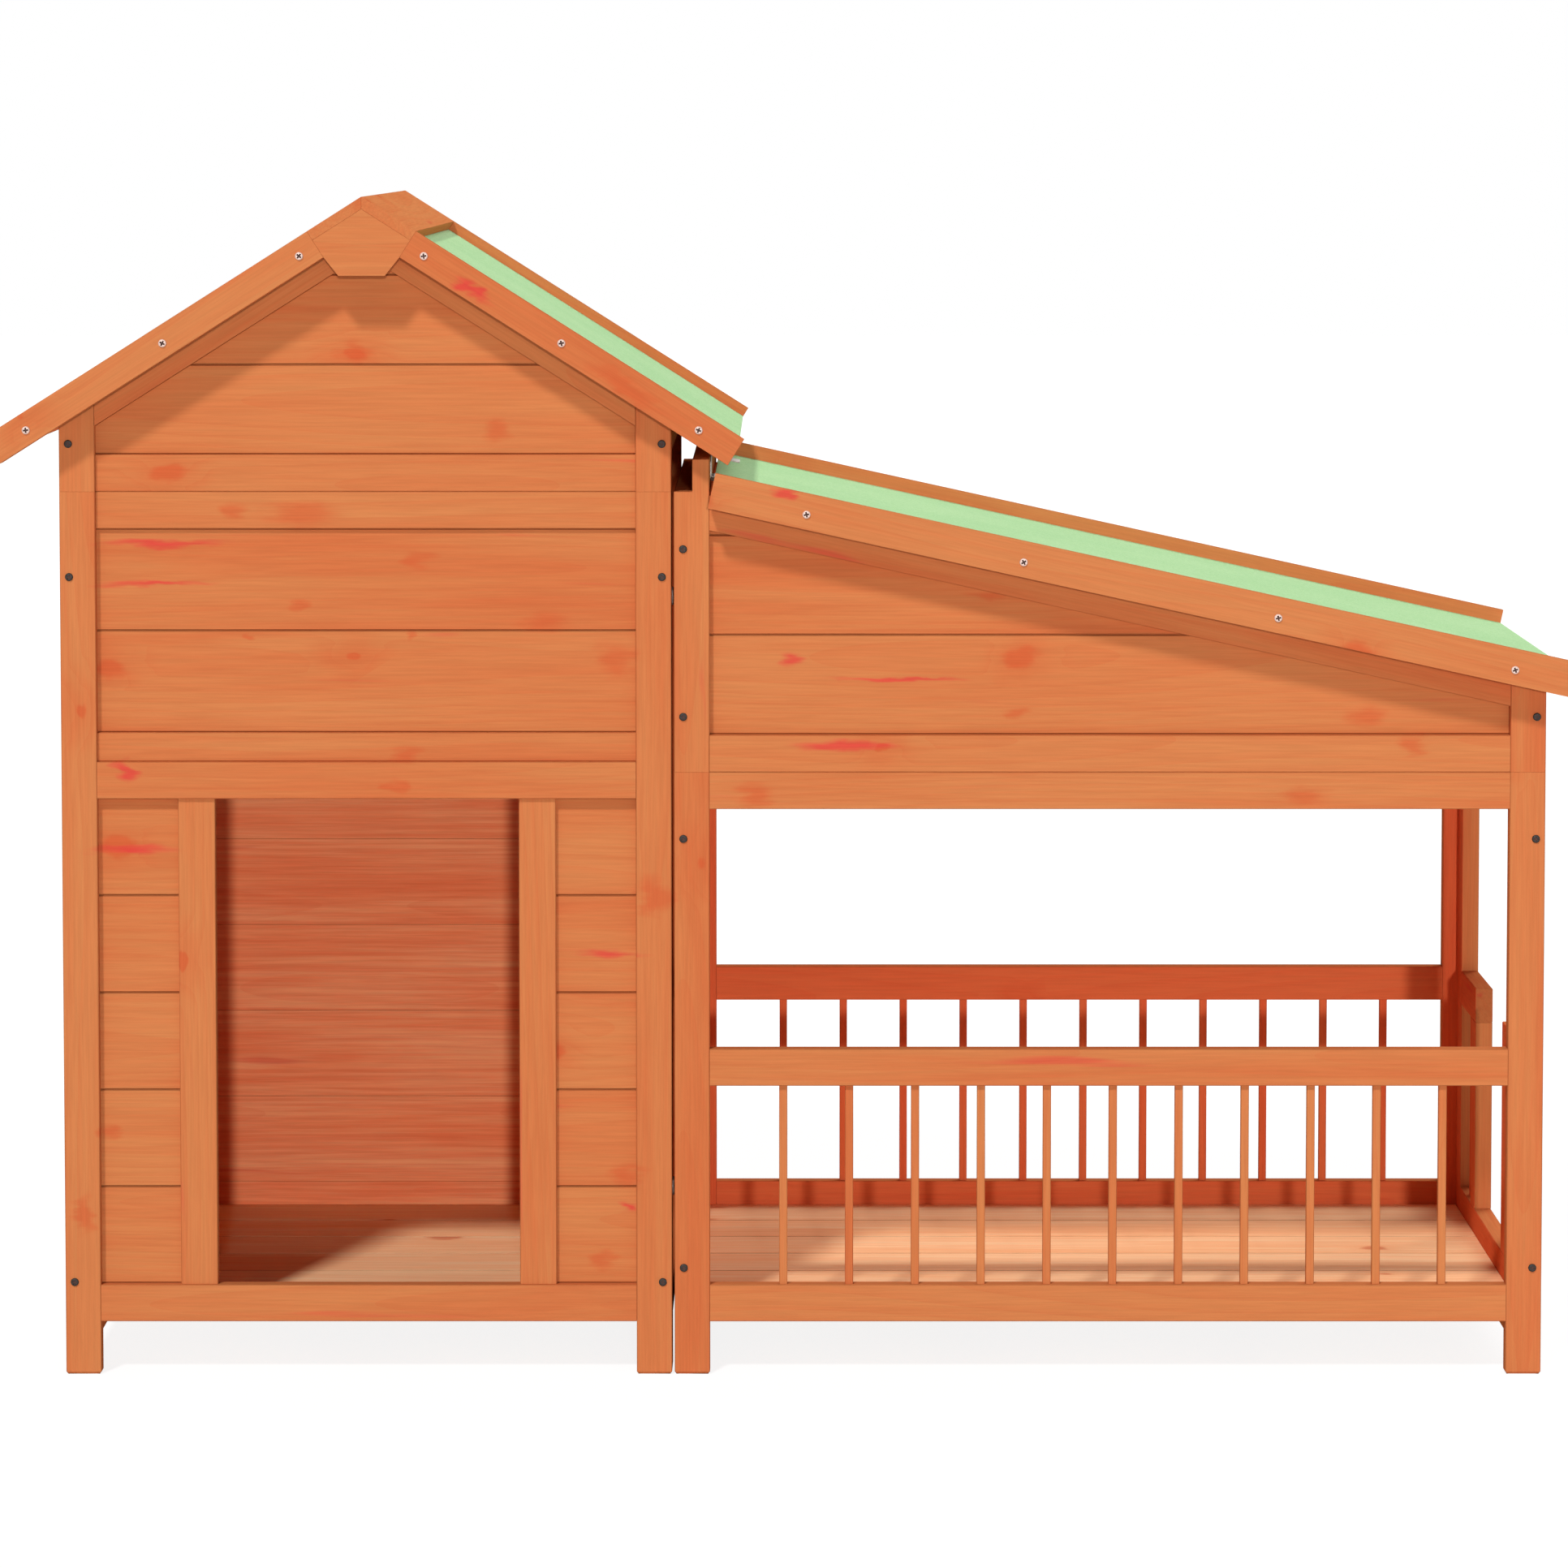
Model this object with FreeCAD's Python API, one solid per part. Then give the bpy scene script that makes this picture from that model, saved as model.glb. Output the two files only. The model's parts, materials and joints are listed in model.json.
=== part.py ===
import FreeCAD, Part
import math
import os

# Timber dog house: a boarded cabin with an open doorway under a gable roof, beside an open porch
# with a low fence under a single-slope roof that lifts on two butt hinges.
# Millimetres. X runs along the front, from the cabin (left) to the porch (right); Y runs from
# the front to the back; Z is up. The origin is on the ground, at the middle of the whole width
# and depth.

# ---- overall sizes ----
house_width = 592.0  # cabin, outside of its wall frames
porch_width = 846.0  # porch, outside of its frames
wall_depth = 600.0  # front face of the front frames to back face of the back frames
unit_gap = 2.5  # space between cabin and porch, kept by spacer washers
eave_overhang = 71.0  # cabin roof beyond the cabin's side walls
porch_overhang = 33.0  # porch roof beyond the porch's open side
verge_overhang = 35.0  # outer face of the barge boards beyond the front and back frames
leg_height = 52.0  # ground to the underside of the bottom rails
house_panel_height = 863.5  # top of the cabin's lower panels, where the gable panels stand
gable_edge_height = 74.0  # gable panels at the side walls' outer faces
house_pitch = 32.4  # slope of the cabin roof, degrees
porch_panel_height = 591.0  # top of the porch's lower panels
hinge_rail_rise = 31.5  # top of the hinge rail above the cabin's lower panels
hinge_rail_height = 60.0
porch_roof_drop = 35.0  # underside of the porch roof's upper end below the hinge rail's top
porch_edge_height = 91.0  # its underside above the porch's lower panels, at the open side

# ---- timber sections ----
stile_width = 34.5  # uprights
rail_width = 36.0  # rails, lintel and door jambs
frame_thickness = 18.0
thin_rail_thickness = 12.0  # the cabin's upper rails, set back from the stiles' faces
jamb_thickness = 14.0
rafter_width = 27.0  # sloping rails of the gables
sloping_rail_width = 33.0  # sloping rails of the porch
edge_ease = 0.8  # small bevel along every bar

# ---- matched boards ----
board_thickness = 7.0
board_cover = 97.0  # width that one wall board covers
gable_board_cover = 87.0
rebate_width = 8.0  # how far the boards' ends lie in the stiles
tongue_length = 4.0
tongue_thickness = 2.2
tongue_clearance = 0.3
board_gap = 0.2
joint_bevel = 1.2  # bevel that makes the V between two boards
seat_clearance = 0.2

# ---- door ----
door_width = 295.0
door_height = 477.0
transom_width = 28.0  # strip between the lintel and the boards above it

# ---- floor and deck ----
floor_height = 63.0
floor_thickness = 9.0
floor_cover = 94.0
cleat_width = 16.0
cleat_height = 14.0
batten_width = 36.0
batten_thickness = 9.0
batten_end_gap = 20.0  # floor battens stop short of the front and back rails
house_batten_count = 1
deck_batten_count = 2

# ---- cabin roof ----
house_barge_width = 29.6
barge_thickness = 10.0
cap_width = 62.0  # ridge caps, measured down the slope
cap_thickness = 10.0  # also how deep the felt lies below the barge boards' top edge
felt_thickness = 2.0
roof_board_thickness = 8.0
roof_board_cover = 96.0
roof_batten_width = 18.0
gusset_bottom_width = 44.6
gusset_bottom_drop = 76.0  # gusset's lower edge below the ridge

# ---- porch fence ----
fence_height = 320.0  # ground to the top of the fence rails
baluster_size = 8.0  # square bars
baluster_ease = 0.6
baluster_pitch = 64.3
baluster_first = 71.5  # left stile's inner edge to the first baluster
baluster_socket = 8.0  # how far a baluster enters a rail
entry_width = 232.0

# ---- porch roof ----
porch_barge_width = 34.5
porch_felt_depth = 14.0  # felt below the barge boards' top edge
porch_batten_thickness = 9.5
rest_gap = 0.3  # running gap between the lifting roof and the frame it rests on
roof_end_gap = 1.2  # hinge rail to the roof boards' upper ends

# ---- butt hinges ----
hinge_count = 2
hinge_length = 50.0
hinge_end_distance = 90.0  # outer hinges' middles from the front and back faces
leaf_thickness = 1.2
leaf_width = 24.0
knuckle_radius = 2.6
knuckle_gap = 0.3
pin_radius = 1.3
pin_clearance = 0.05

# ---- screws and bolts ----
screw_head_radius = 3.9
screw_head_height = 1.6
screw_shank_radius = 1.8
frame_screw_length = 40.0
frame_screw_inset = 9.0  # from the stile's outer edge: the middle of the side panel
barge_screw_length = 26.0
screw_clearance = 0.05
low_screw_rise = 39.0  # above the underside of the cabin's bottom rail
panel_screw_drop = 82.5  # below the top of the cabin's lower panels
gable_screw_rise = 46.5  # above the gable panels' lower edge
porch_low_screw_rise = 53.0
porch_panel_screw_drop = 65.0  # below the top of the porch's lower panels
porch_upper_screw_rise = 54.0  # above it
porch_top_screw_drop = 55.5  # below the top of the stiles' outer halves
barge_screw_first = 81.0
barge_screw_pitch = 156.0
barge_screw_count = 3
porch_screw_first = 94.0
porch_screw_upper_pitch = 214.0
porch_screw_lower_pitch = 234.0
porch_screw_last = 65.0
bolt_radius = 3.0
bolt_head_radius = 5.5
bolt_head_height = 4.0
nut_height = 5.0
bolt_clearance = 0.1
washer_radius = 9.0
bolt_low_rise = 128.0  # above the underside of the bottom rails
bolt_high_drop = 103.5  # below the top of the cabin's lower panels
fastener_sides = 6  # shanks and their holes are drawn with flat sides
head_sides = 8

# ---- derived places ----
X = FreeCAD.Vector(1, 0, 0)
Y = FreeCAD.Vector(0, 1, 0)
Z = FreeCAD.Vector(0, 0, 1)
total_width = eave_overhang + house_width + unit_gap + porch_width + porch_overhang
house_left = eave_overhang - total_width / 2
house_right = house_left + house_width
house_middle = (house_left + house_right) / 2
porch_left = house_right + unit_gap
porch_right = porch_left + porch_width
front_face = -wall_depth / 2
front_inside = front_face + frame_thickness  # back of the front frames
board_face = front_inside - board_thickness  # weather face of the front boards
verge_face = front_face - verge_overhang
barge_back = verge_face + barge_thickness
rail_top = leg_height + rail_width
door_top = rail_top + door_height
lintel_top = door_top + rail_width
transom_top = lintel_top + transom_width
upper_rail_bottom = house_panel_height - rail_width
hinge_rail_top = house_panel_height + hinge_rail_rise
gable_rail_top = house_panel_height + rail_width
fence_rail_bottom = fence_height - rail_width
porch_top_rail_bottom = porch_panel_height - rail_width
porch_upper_rail_top = porch_panel_height + rail_width
side_stile_end = front_inside + stile_width  # side panels' front stiles end here
floor_bottom = floor_height - floor_thickness
notch_x = porch_left + frame_thickness  # the hinge rail lies right of this plane
hinge_face = porch_left + stile_width  # the hinge rail's right face

slope = math.radians(house_pitch)
house_felt_bottom = cap_thickness + felt_thickness
house_under = house_felt_bottom + roof_board_thickness  # depth of the boards' underside
gable_rise = house_width / 2 * math.tan(slope) + house_under / math.cos(slope)
ridge_height = house_panel_height + gable_edge_height + gable_rise
house_roof_length = (house_width / 2 + eave_overhang) / math.cos(slope)
porch_felt_bottom = porch_felt_depth + felt_thickness
porch_under = porch_felt_bottom + roof_board_thickness
porch_end_x = hinge_face + roof_end_gap  # upper end of the porch roof's underside
porch_end_z = hinge_rail_top - porch_roof_drop
porch_fall = porch_end_z - porch_panel_height - porch_edge_height
porch_slope = math.atan2(porch_fall, porch_right - porch_end_x)
porch_corner_x = porch_end_x + porch_under * math.sin(porch_slope)
porch_corner_z = porch_end_z + porch_under * math.cos(porch_slope)
porch_roof_length = (porch_right + porch_overhang - porch_corner_x) / math.cos(porch_slope)
far = total_width  # longer than anything it cuts


# ---- helpers ----
def prism(outline, origin, across, up, along, length):
    """Closed outline of (across, up) points at origin, pushed along a direction."""
    corners = [origin + across * a + up * b for a, b in outline]
    face = Part.Face(Part.makePolygon(corners + corners[:1]))
    return face.extrude(along * length)


def block(lo, hi):
    """Plain box between two corners, used to cut and to clip."""
    size = [b - a for a, b in zip(lo, hi)]
    return Part.makeBox(size[0], size[1], size[2], FreeCAD.Vector(*lo))


def bar(lo, hi, along, e=edge_ease):
    """Straight timber between two corners, with its four long edges eased."""
    rest = [axis for axis in (X, Y, Z) if axis != along]
    low, high = FreeCAD.Vector(*lo), FreeCAD.Vector(*hi)
    a0, a1 = low.dot(rest[0]), high.dot(rest[0])
    b0, b1 = low.dot(rest[1]), high.dot(rest[1])
    outline = [
        (a0 + e, b0), (a1 - e, b0), (a1, b0 + e), (a1, b1 - e),
        (a1 - e, b1), (a0 + e, b1), (a0, b1 - e), (a0, b0 + e),
    ]
    start = along * low.dot(along)
    return prism(outline, start, rest[0], rest[1], along, (high - low).dot(along))


def board_outline(cover, thickness, tongue, groove):
    """Section of a matched board as (across, depth); depth 0 is its face."""
    width = cover - board_gap
    middle = thickness / 2
    half = tongue_thickness / 2
    wide = half + tongue_clearance
    deep = tongue_length + tongue_clearance
    outline = [(joint_bevel, 0), (width - joint_bevel, 0), (width, joint_bevel)]
    if tongue:
        outline += [
            (width, middle - half), (width + tongue_length, middle - half),
            (width + tongue_length, middle + half), (width, middle + half),
        ]
    outline += [(width, thickness), (0, thickness)]
    if groove:
        outline += [
            (0, middle + wide), (deep, middle + wide),
            (deep, middle - wide), (0, middle - wide),
        ]
    outline.append((0, joint_bevel))
    return outline


def boarding(origin, along, across, inward, length, height, cover, thickness):
    """Matched boards side by side, as many as come nearest to the cover width."""
    count = max(1, round(height / cover))
    pitch = height / count
    boards = []
    for i in range(count):
        outline = board_outline(pitch, thickness, i < count - 1, i > 0)
        start = origin + across * (i * pitch)
        boards.append(prism(outline, start, across, inward, along, length))
    return boards


def clip(solids, region):
    """The part of each solid inside a region, leaving out what is wholly outside."""
    kept = []
    for solid in solids:
        kept += [piece for piece in solid.common(region).Solids if piece.Volume > 1.0]
    return kept


def cut(solids, tools):
    """Each solid with the tools that touch it taken out."""
    result = []
    for solid in solids:
        near = [tool for tool in tools if tool.BoundBox.intersect(solid.BoundBox)]
        result += solid.cut(near).Solids if near else [solid]
    return result


def to_back(solids):
    """Mirror image of pieces of the front, for the back."""
    return [solid.mirror(FreeCAD.Vector(0, 0, 0), Y) for solid in solids]


def to_house_right(solids):
    """Mirror image of pieces of the cabin's left half, for its right half."""
    return [solid.mirror(FreeCAD.Vector(house_middle, 0, 0), X) for solid in solids]


def rod(start, direction, radius, length):
    return Part.makeCylinder(radius, length, start, direction)


def fastener_bar(start, direction, radius, length, sides=fastener_sides):
    """Level shank, head or hole of a fastener, with flat sides."""
    turns = [i * 2 * math.pi / sides for i in range(sides)]
    outline = [(radius * math.cos(t), radius * math.sin(t)) for t in turns]
    return prism(outline, start, direction.cross(Z), Z, direction, length)


# ---- roof planes ----
def house_point(s, depth):
    """(x, z) at s down the cabin roof's right slope and depth below its top plane."""
    x = house_middle + s * math.cos(slope) - depth * math.sin(slope)
    return x, ridge_height - s * math.sin(slope) - depth * math.cos(slope)


def house_plane_z(x, depth):
    """Height of the cabin roof's plane at depth, over a point x of either slope."""
    run = abs(x - house_middle)
    return ridge_height - depth / math.cos(slope) - run * math.tan(slope)


def porch_point(s, depth):
    """(x, z) at s down the porch roof and depth below its top plane."""
    x = porch_corner_x + s * math.cos(porch_slope) - depth * math.sin(porch_slope)
    return x, porch_corner_z - s * math.sin(porch_slope) - depth * math.cos(porch_slope)


def porch_plane_z(x, depth):
    drop = (x - porch_corner_x) * math.tan(porch_slope)
    return porch_corner_z - depth / math.cos(porch_slope) - drop


def below_house_roof(depth):
    """Everything under both slopes of the cabin roof's plane at depth."""
    left, right = house_middle - far, house_middle + far
    outline = [
        (left, -far), (right, -far), (right, house_plane_z(right, depth)),
        (house_middle, house_plane_z(house_middle, depth)), (left, house_plane_z(left, depth)),
    ]
    return prism(outline, Y * -far, X, Z, Y, 2 * far)


def below_porch_roof(depth):
    left, right = porch_left - far, porch_right + far
    outline = [
        (left, -far), (right, -far),
        (right, porch_plane_z(right, depth)), (left, porch_plane_z(left, depth)),
    ]
    return prism(outline, Y * -far, X, Z, Y, 2 * far)


# ---- screws and bolts ----
def screw(point, direction, length):
    """Screw with a flat round head: point is under the head, direction leads into the timber."""
    top = point - direction * screw_head_height
    head = fastener_bar(top, direction, screw_head_radius, screw_head_height, head_sides)
    shank = fastener_bar(point, direction, screw_shank_radius, length)
    return head.fuse(shank).Solids[0]


def screw_hole(point, direction, length):
    radius = screw_shank_radius + screw_clearance
    return fastener_bar(point, direction, radius, length + screw_clearance)


def frame_screw_points():
    """Where the front stiles are screwed to the side panels: cabin first, then porch."""
    house_heights = (
        leg_height + low_screw_rise, house_panel_height - panel_screw_drop,
        house_panel_height + gable_screw_rise,
    )
    porch_heights = (
        leg_height + porch_low_screw_rise, porch_panel_height - porch_panel_screw_drop,
        porch_panel_height + porch_upper_screw_rise,
    )
    house = []
    for x in (house_left + frame_screw_inset, house_right - frame_screw_inset):
        house += [FreeCAD.Vector(x, front_face, z) for z in house_heights]
    porch = []
    for x in (porch_left + frame_screw_inset, porch_right - frame_screw_inset):
        porch += [FreeCAD.Vector(x, front_face, z) for z in porch_heights]
    top = house_panel_height - porch_top_screw_drop
    porch.append(FreeCAD.Vector(porch_left + frame_screw_inset, front_face, top))
    return house, porch


def house_barge_screw_points():
    depth = house_felt_bottom + roof_board_thickness / 2
    points = []
    for i in range(barge_screw_count):
        x, z = house_point(barge_screw_first + i * barge_screw_pitch, depth)
        points.append(FreeCAD.Vector(x, verge_face, z))
        points.append(FreeCAD.Vector(2 * house_middle - x, verge_face, z))
    return points


def porch_barge_screw_points():
    last = porch_roof_length - porch_screw_last
    along_slope = (
        porch_screw_first, porch_screw_first + porch_screw_upper_pitch,
        last - porch_screw_lower_pitch, last,
    )
    depth = porch_felt_bottom + roof_board_thickness / 2
    places = [porch_point(s, depth) for s in along_slope]
    return [FreeCAD.Vector(x, verge_face, z) for x, z in places]


def screws(points, length):
    """Screws at the given points of the front, and their mirror images at the back."""
    front = [screw(point, Y, length) for point in points]
    return front + to_back(front)


def screw_holes(points, length):
    front = [screw_hole(point, Y, length) for point in points]
    return front + to_back(front)


house_points, porch_points = frame_screw_points()
frame_holes = screw_holes(house_points + porch_points, frame_screw_length)
house_barge_holes = screw_holes(house_barge_screw_points(), barge_screw_length)
porch_barge_holes = screw_holes(porch_barge_screw_points(), barge_screw_length)

bolt_y = front_inside + stile_width / 2
bolt_heights = (leg_height + bolt_low_rise, house_panel_height - bolt_high_drop)
bolt_points = [
    FreeCAD.Vector(house_right - frame_thickness, y, z)
    for y in (bolt_y, -bolt_y)
    for z in bolt_heights
]
bolt_grip = 2 * frame_thickness + unit_gap
bore_radius = bolt_radius + bolt_clearance
bolt_holes = [fastener_bar(point, X, bore_radius, bolt_grip) for point in bolt_points]


def joining_bolts():
    """Bolts from the porch side, with the thread's end in the cabin's nut."""
    bolts = []
    for point in bolt_points:
        shank = fastener_bar(point - X * nut_height, X, bolt_radius, bolt_grip + nut_height)
        head = fastener_bar(point + X * bolt_grip, X, bolt_head_radius, bolt_head_height, 6)
        bolts += shank.fuse(head).Solids
    return bolts


def bored(body, start, height):
    return body.cut(fastener_bar(start, X, bore_radius, height)).Solids


def joining_nuts():
    nuts = []
    for point in bolt_points:
        start = point - X * nut_height
        nuts += bored(fastener_bar(start, X, bolt_head_radius, nut_height, 6), start, nut_height)
    return nuts


def spacer_washers():
    washers = []
    for point in bolt_points:
        start = point + X * frame_thickness
        washers += bored(fastener_bar(start, X, washer_radius, unit_gap, head_sides), start, unit_gap)
    return washers


# ---- parts of a front frame ----
def left_stile(x, z0, z1, rebate_from):
    """Upright whose back inner edge is rebated for the boards' ends."""
    stile = bar((x, front_face, z0), (x + stile_width, front_inside, z1), Z)
    inner = x + stile_width
    rebate = block((inner - rebate_width, board_face, rebate_from), (inner + far, far, z1 + far))
    return stile.cut(rebate)


def right_stile(x, z0, z1, rebate_from):
    """Upright that ends at x, rebated on its left."""
    stile = bar((x - stile_width, front_face, z0), (x, front_inside, z1), Z)
    inner = x - stile_width
    rebate = block((inner - far, board_face, rebate_from), (inner + rebate_width, far, z1 + far))
    return stile.cut(rebate)


def front_rail(left, right, z0, thickness, width):
    """Rail between two stiles, its back flush with theirs."""
    y0 = front_inside - thickness
    return bar((left + stile_width, y0, z0), (right - stile_width, front_inside, z0 + width), X)


def front_boards(x0, x1, z0, z1, cover):
    """Boards whose ends lie in rebates beyond x0 and x1."""
    reach = rebate_width - seat_clearance
    origin = FreeCAD.Vector(x0 - reach, board_face, z0)
    length = x1 - x0 + 2 * reach
    return boarding(origin, X, Z, Y, length, z1 - z0, cover, board_thickness)


# ---- cabin: lower panels ----
house_inner_left = house_left + stile_width
house_inner_right = house_right - stile_width
jamb_left = house_middle - door_width / 2 - rail_width  # outer edge of the left jamb


def house_stiles():
    left = left_stile(house_left, 0, house_panel_height, rail_top)
    right = right_stile(house_right, 0, house_panel_height, rail_top)
    return cut([left, right], frame_holes)


def house_bottom_rail():
    return [front_rail(house_left, house_right, leg_height, frame_thickness, rail_width)]


def house_upper_rail():
    rail = front_rail(
        house_left, house_right, upper_rail_bottom, thin_rail_thickness, rail_width
    )
    return [rail]


def door_lintel():
    return [front_rail(house_left, house_right, door_top, frame_thickness, rail_width)]


def door_transom():
    strip = front_rail(
        house_left, house_right, lintel_top, thin_rail_thickness, transom_width
    )
    return [strip]


def door_jambs():
    """Uprights beside the doorway, rebated for the ends of the short boards."""
    y0 = front_inside - jamb_thickness
    lo = (jamb_left, y0, rail_top)
    hi = (jamb_left + rail_width, front_inside, door_top)
    rebate_hi = (jamb_left + rebate_width, far, door_top + far)
    rebate = block((jamb_left - far, board_face, rail_top - far), rebate_hi)
    left = cut([bar(lo, hi, Z)], [rebate])
    return left + to_house_right(left)


def doorside_boards():
    left = front_boards(house_inner_left, jamb_left, rail_top, door_top, board_cover)
    return left + to_house_right(left)


def front_upper_boards():
    return front_boards(
        house_inner_left, house_inner_right, transom_top, upper_rail_bottom, board_cover
    )


def house_back_boards():
    boards = front_boards(
        house_inner_left, house_inner_right, rail_top, upper_rail_bottom, board_cover
    )
    return to_back(boards)


# ---- cabin: gable panels ----
def gable_stiles():
    top = house_plane_z(house_middle, house_under)
    left = left_stile(house_left, house_panel_height, top, house_panel_height)
    right = right_stile(house_right, house_panel_height, top, house_panel_height)
    return cut(clip([left, right], below_house_roof(house_under)), frame_holes)


def gable_rail():
    rail = front_rail(
        house_left, house_right, house_panel_height, thin_rail_thickness, rail_width
    )
    return [rail]


def gable_rafters():
    """Sloping rails under the roof boards, mitred where they meet."""
    low = house_under + rafter_width
    outline = [
        (house_middle, house_plane_z(house_middle, house_under)),
        (house_inner_right, house_plane_z(house_inner_right, house_under)),
        (house_inner_right, house_plane_z(house_inner_right, low)),
        (house_middle, house_plane_z(house_middle, low)),
    ]
    rafter = prism(outline, Y * front_face, X, Z, Y, frame_thickness)
    return [rafter] + to_house_right([rafter])


def gable_boards():
    """Boards across the gable, their ends cut to the rafters' slope."""
    low = house_under + rafter_width
    peak = house_plane_z(house_middle, low)
    rows = math.ceil((peak - gable_rail_top) / gable_board_cover)
    top = gable_rail_top + rows * gable_board_cover
    boards = front_boards(
        house_inner_left, house_inner_right, gable_rail_top, top, gable_board_cover
    )
    return clip(boards, below_house_roof(low))


# ---- cabin: side panels ----
eave_z = house_plane_z(house_left, house_under)  # roof's underside over the wall's outer face


def side_stiles(x0, top):
    """Front and back uprights of a side panel, from x0 inwards."""
    front = bar((x0, front_inside, 0), (x0 + frame_thickness, side_stile_end, top), Z)
    return [front] + to_back([front])


def side_rail(x0, z0, z1):
    lo = (x0, side_stile_end, z0)
    hi = (x0 + frame_thickness, -side_stile_end, z1)
    return bar(lo, hi, Y)


def house_side_stiles():
    """Uprights of the left panel, rebated inside for the boards, cut to the roof."""
    x0 = house_left
    stiles = side_stiles(x0, house_plane_z(x0 + frame_thickness, house_under))
    x_board = x0 + frame_thickness - board_thickness
    reach = -side_stile_end + rebate_width
    rebate = block((x_board, -reach, rail_top), (x_board + far, reach, far))
    stiles = cut(clip(stiles, below_house_roof(house_under)), [rebate])
    return cut(stiles, frame_holes)


def house_side_rails():
    x0 = house_left
    bottom = side_rail(x0, leg_height, rail_top)
    inner_z = house_plane_z(x0 + frame_thickness, house_under)
    top = clip([side_rail(x0, eave_z - rail_width, inner_z)], below_house_roof(house_under))
    return [bottom] + top


def house_side_boards():
    reach = rebate_width - seat_clearance
    x_board = house_left + frame_thickness - board_thickness
    origin = FreeCAD.Vector(x_board, side_stile_end - reach, rail_top)
    length = 2 * (reach - side_stile_end)
    height = eave_z - rail_width - rail_top
    return boarding(origin, Y, Z, X, length, height, board_cover, board_thickness)


# ---- floors ----
def floor_bearers(left, right, batten_count):
    """Ledgers inside the side panels for the boards' ends, and battens between them."""
    z0 = floor_bottom - cleat_height
    y0 = front_inside + seat_clearance
    near = bar(
        (left + frame_thickness, y0, z0),
        (left + frame_thickness + cleat_width, -y0, floor_bottom), Y,
    )
    away = bar(
        (right - frame_thickness - cleat_width, y0, z0),
        (right - frame_thickness, -y0, floor_bottom), Y,
    )
    return [near, away] + floor_battens(left, right, batten_count)


def floor_boards(left, right):
    x0 = left + frame_thickness + seat_clearance
    length = right - left - 2 * (frame_thickness + seat_clearance)
    origin = FreeCAD.Vector(x0, front_inside + seat_clearance, floor_height)
    depth = -2 * (front_inside + seat_clearance)
    return boarding(origin, X, Y, -Z, length, depth, floor_cover, floor_thickness)


def floor_battens(left, right, count):
    """Flat battens under the boards that hold them together."""
    y0 = front_inside + batten_end_gap
    z0 = floor_bottom - batten_thickness
    battens = []
    for i in range(count):
        x = left + (right - left) * (i + 1) / (count + 1) - batten_width / 2
        battens.append(bar((x, y0, z0), (x + batten_width, -y0, floor_bottom), Y))
    return battens


# ---- cabin roof ----
def house_strip(s0, s1, depth0, depth1):
    """Outline of a strip of the right slope, cut square to the slope at both ends."""
    return [
        house_point(s0, depth0), house_point(s1, depth0),
        house_point(s1, depth1), house_point(s0, depth1),
    ]


right_of_ridge = block((house_middle, -far, -far), (house_middle + far, far, far))


def roof_boards():
    """Right slope's boards, laid from the eave up, the last one mitred at the ridge."""
    s_end = house_roof_length - felt_thickness
    x, z = house_point(s_end, house_felt_bottom)
    up = FreeCAD.Vector(-math.cos(slope), 0, math.sin(slope))
    inward = FreeCAD.Vector(-math.sin(slope), 0, -math.cos(slope))
    s_top = house_felt_bottom * math.tan(slope)
    boards = boarding(
        FreeCAD.Vector(x, barge_back, z), Y, up, inward, -2 * barge_back,
        s_end - s_top, roof_board_cover, roof_board_thickness,
    )
    return cut(clip(boards, right_of_ridge), house_barge_holes)


def roof_felt():
    """Felt over the right slope's boards, folded down over their ends at the eave."""
    s_end = house_roof_length
    outline = [
        house_point(0, cap_thickness), house_point(s_end, cap_thickness),
        house_point(s_end, house_under), house_point(s_end - felt_thickness, house_under),
        house_point(s_end - felt_thickness, house_felt_bottom),
        house_point(0, house_felt_bottom),
    ]
    felt = prism(outline, Y * barge_back, X, Z, Y, -2 * barge_back)
    return clip([felt], right_of_ridge)


def ridge_caps():
    """Two flat boards mitred along the ridge, over the felt and the gusset plates."""
    cap = prism(house_strip(0, cap_width, 0, cap_thickness), Y * verge_face, X, Z, Y, -2 * verge_face)
    right = clip([cap], right_of_ridge)
    return right + to_house_right(right)


def barge_boards():
    """Boards along the front verge, cut square at the eave and at the gusset plate."""
    outline = house_strip(cap_width, house_roof_length, 0, house_barge_width)
    board = prism(outline, Y * verge_face, X, Z, Y, barge_thickness)
    return cut([board] + to_house_right([board]), house_barge_holes)


def gusset_plate():
    """Plate in the peak that joins the two barge boards."""
    bottom_z = ridge_height - gusset_bottom_drop
    right = [
        house_point(cap_width, cap_thickness), house_point(cap_width, house_barge_width),
        (house_middle + gusset_bottom_width / 2, bottom_z),
    ]
    left = [(2 * house_middle - x, z) for x, z in reversed(right)]
    peak = (house_middle, house_plane_z(house_middle, cap_thickness))
    return [prism([peak] + right + left, Y * verge_face, X, Z, Y, barge_thickness)]


def roof_battens():
    """Battens under the roof boards, behind the barge boards."""
    s0 = house_barge_width * math.tan(slope)
    outline = house_strip(s0, house_roof_length - felt_thickness, house_under, house_barge_width)
    batten = prism(outline, Y * barge_back, X, Z, Y, roof_batten_width)
    right = clip([batten], right_of_ridge)
    front = right + to_house_right(right)
    return front + to_back(front)


# ---- porch: lower front and back panels ----
porch_inner_left = porch_left + stile_width
porch_inner_right = porch_right - stile_width
fence_middle_y = front_face + frame_thickness / 2


def baluster_places():
    """Balusters from the left stile on, as many as leave room before the right one."""
    room = porch_inner_right - porch_inner_left - baluster_first - baluster_pitch / 2
    count = int(room / baluster_pitch) + 1
    first = porch_inner_left + baluster_first
    return [(first + i * baluster_pitch, fence_middle_y) for i in range(count)]


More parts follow.
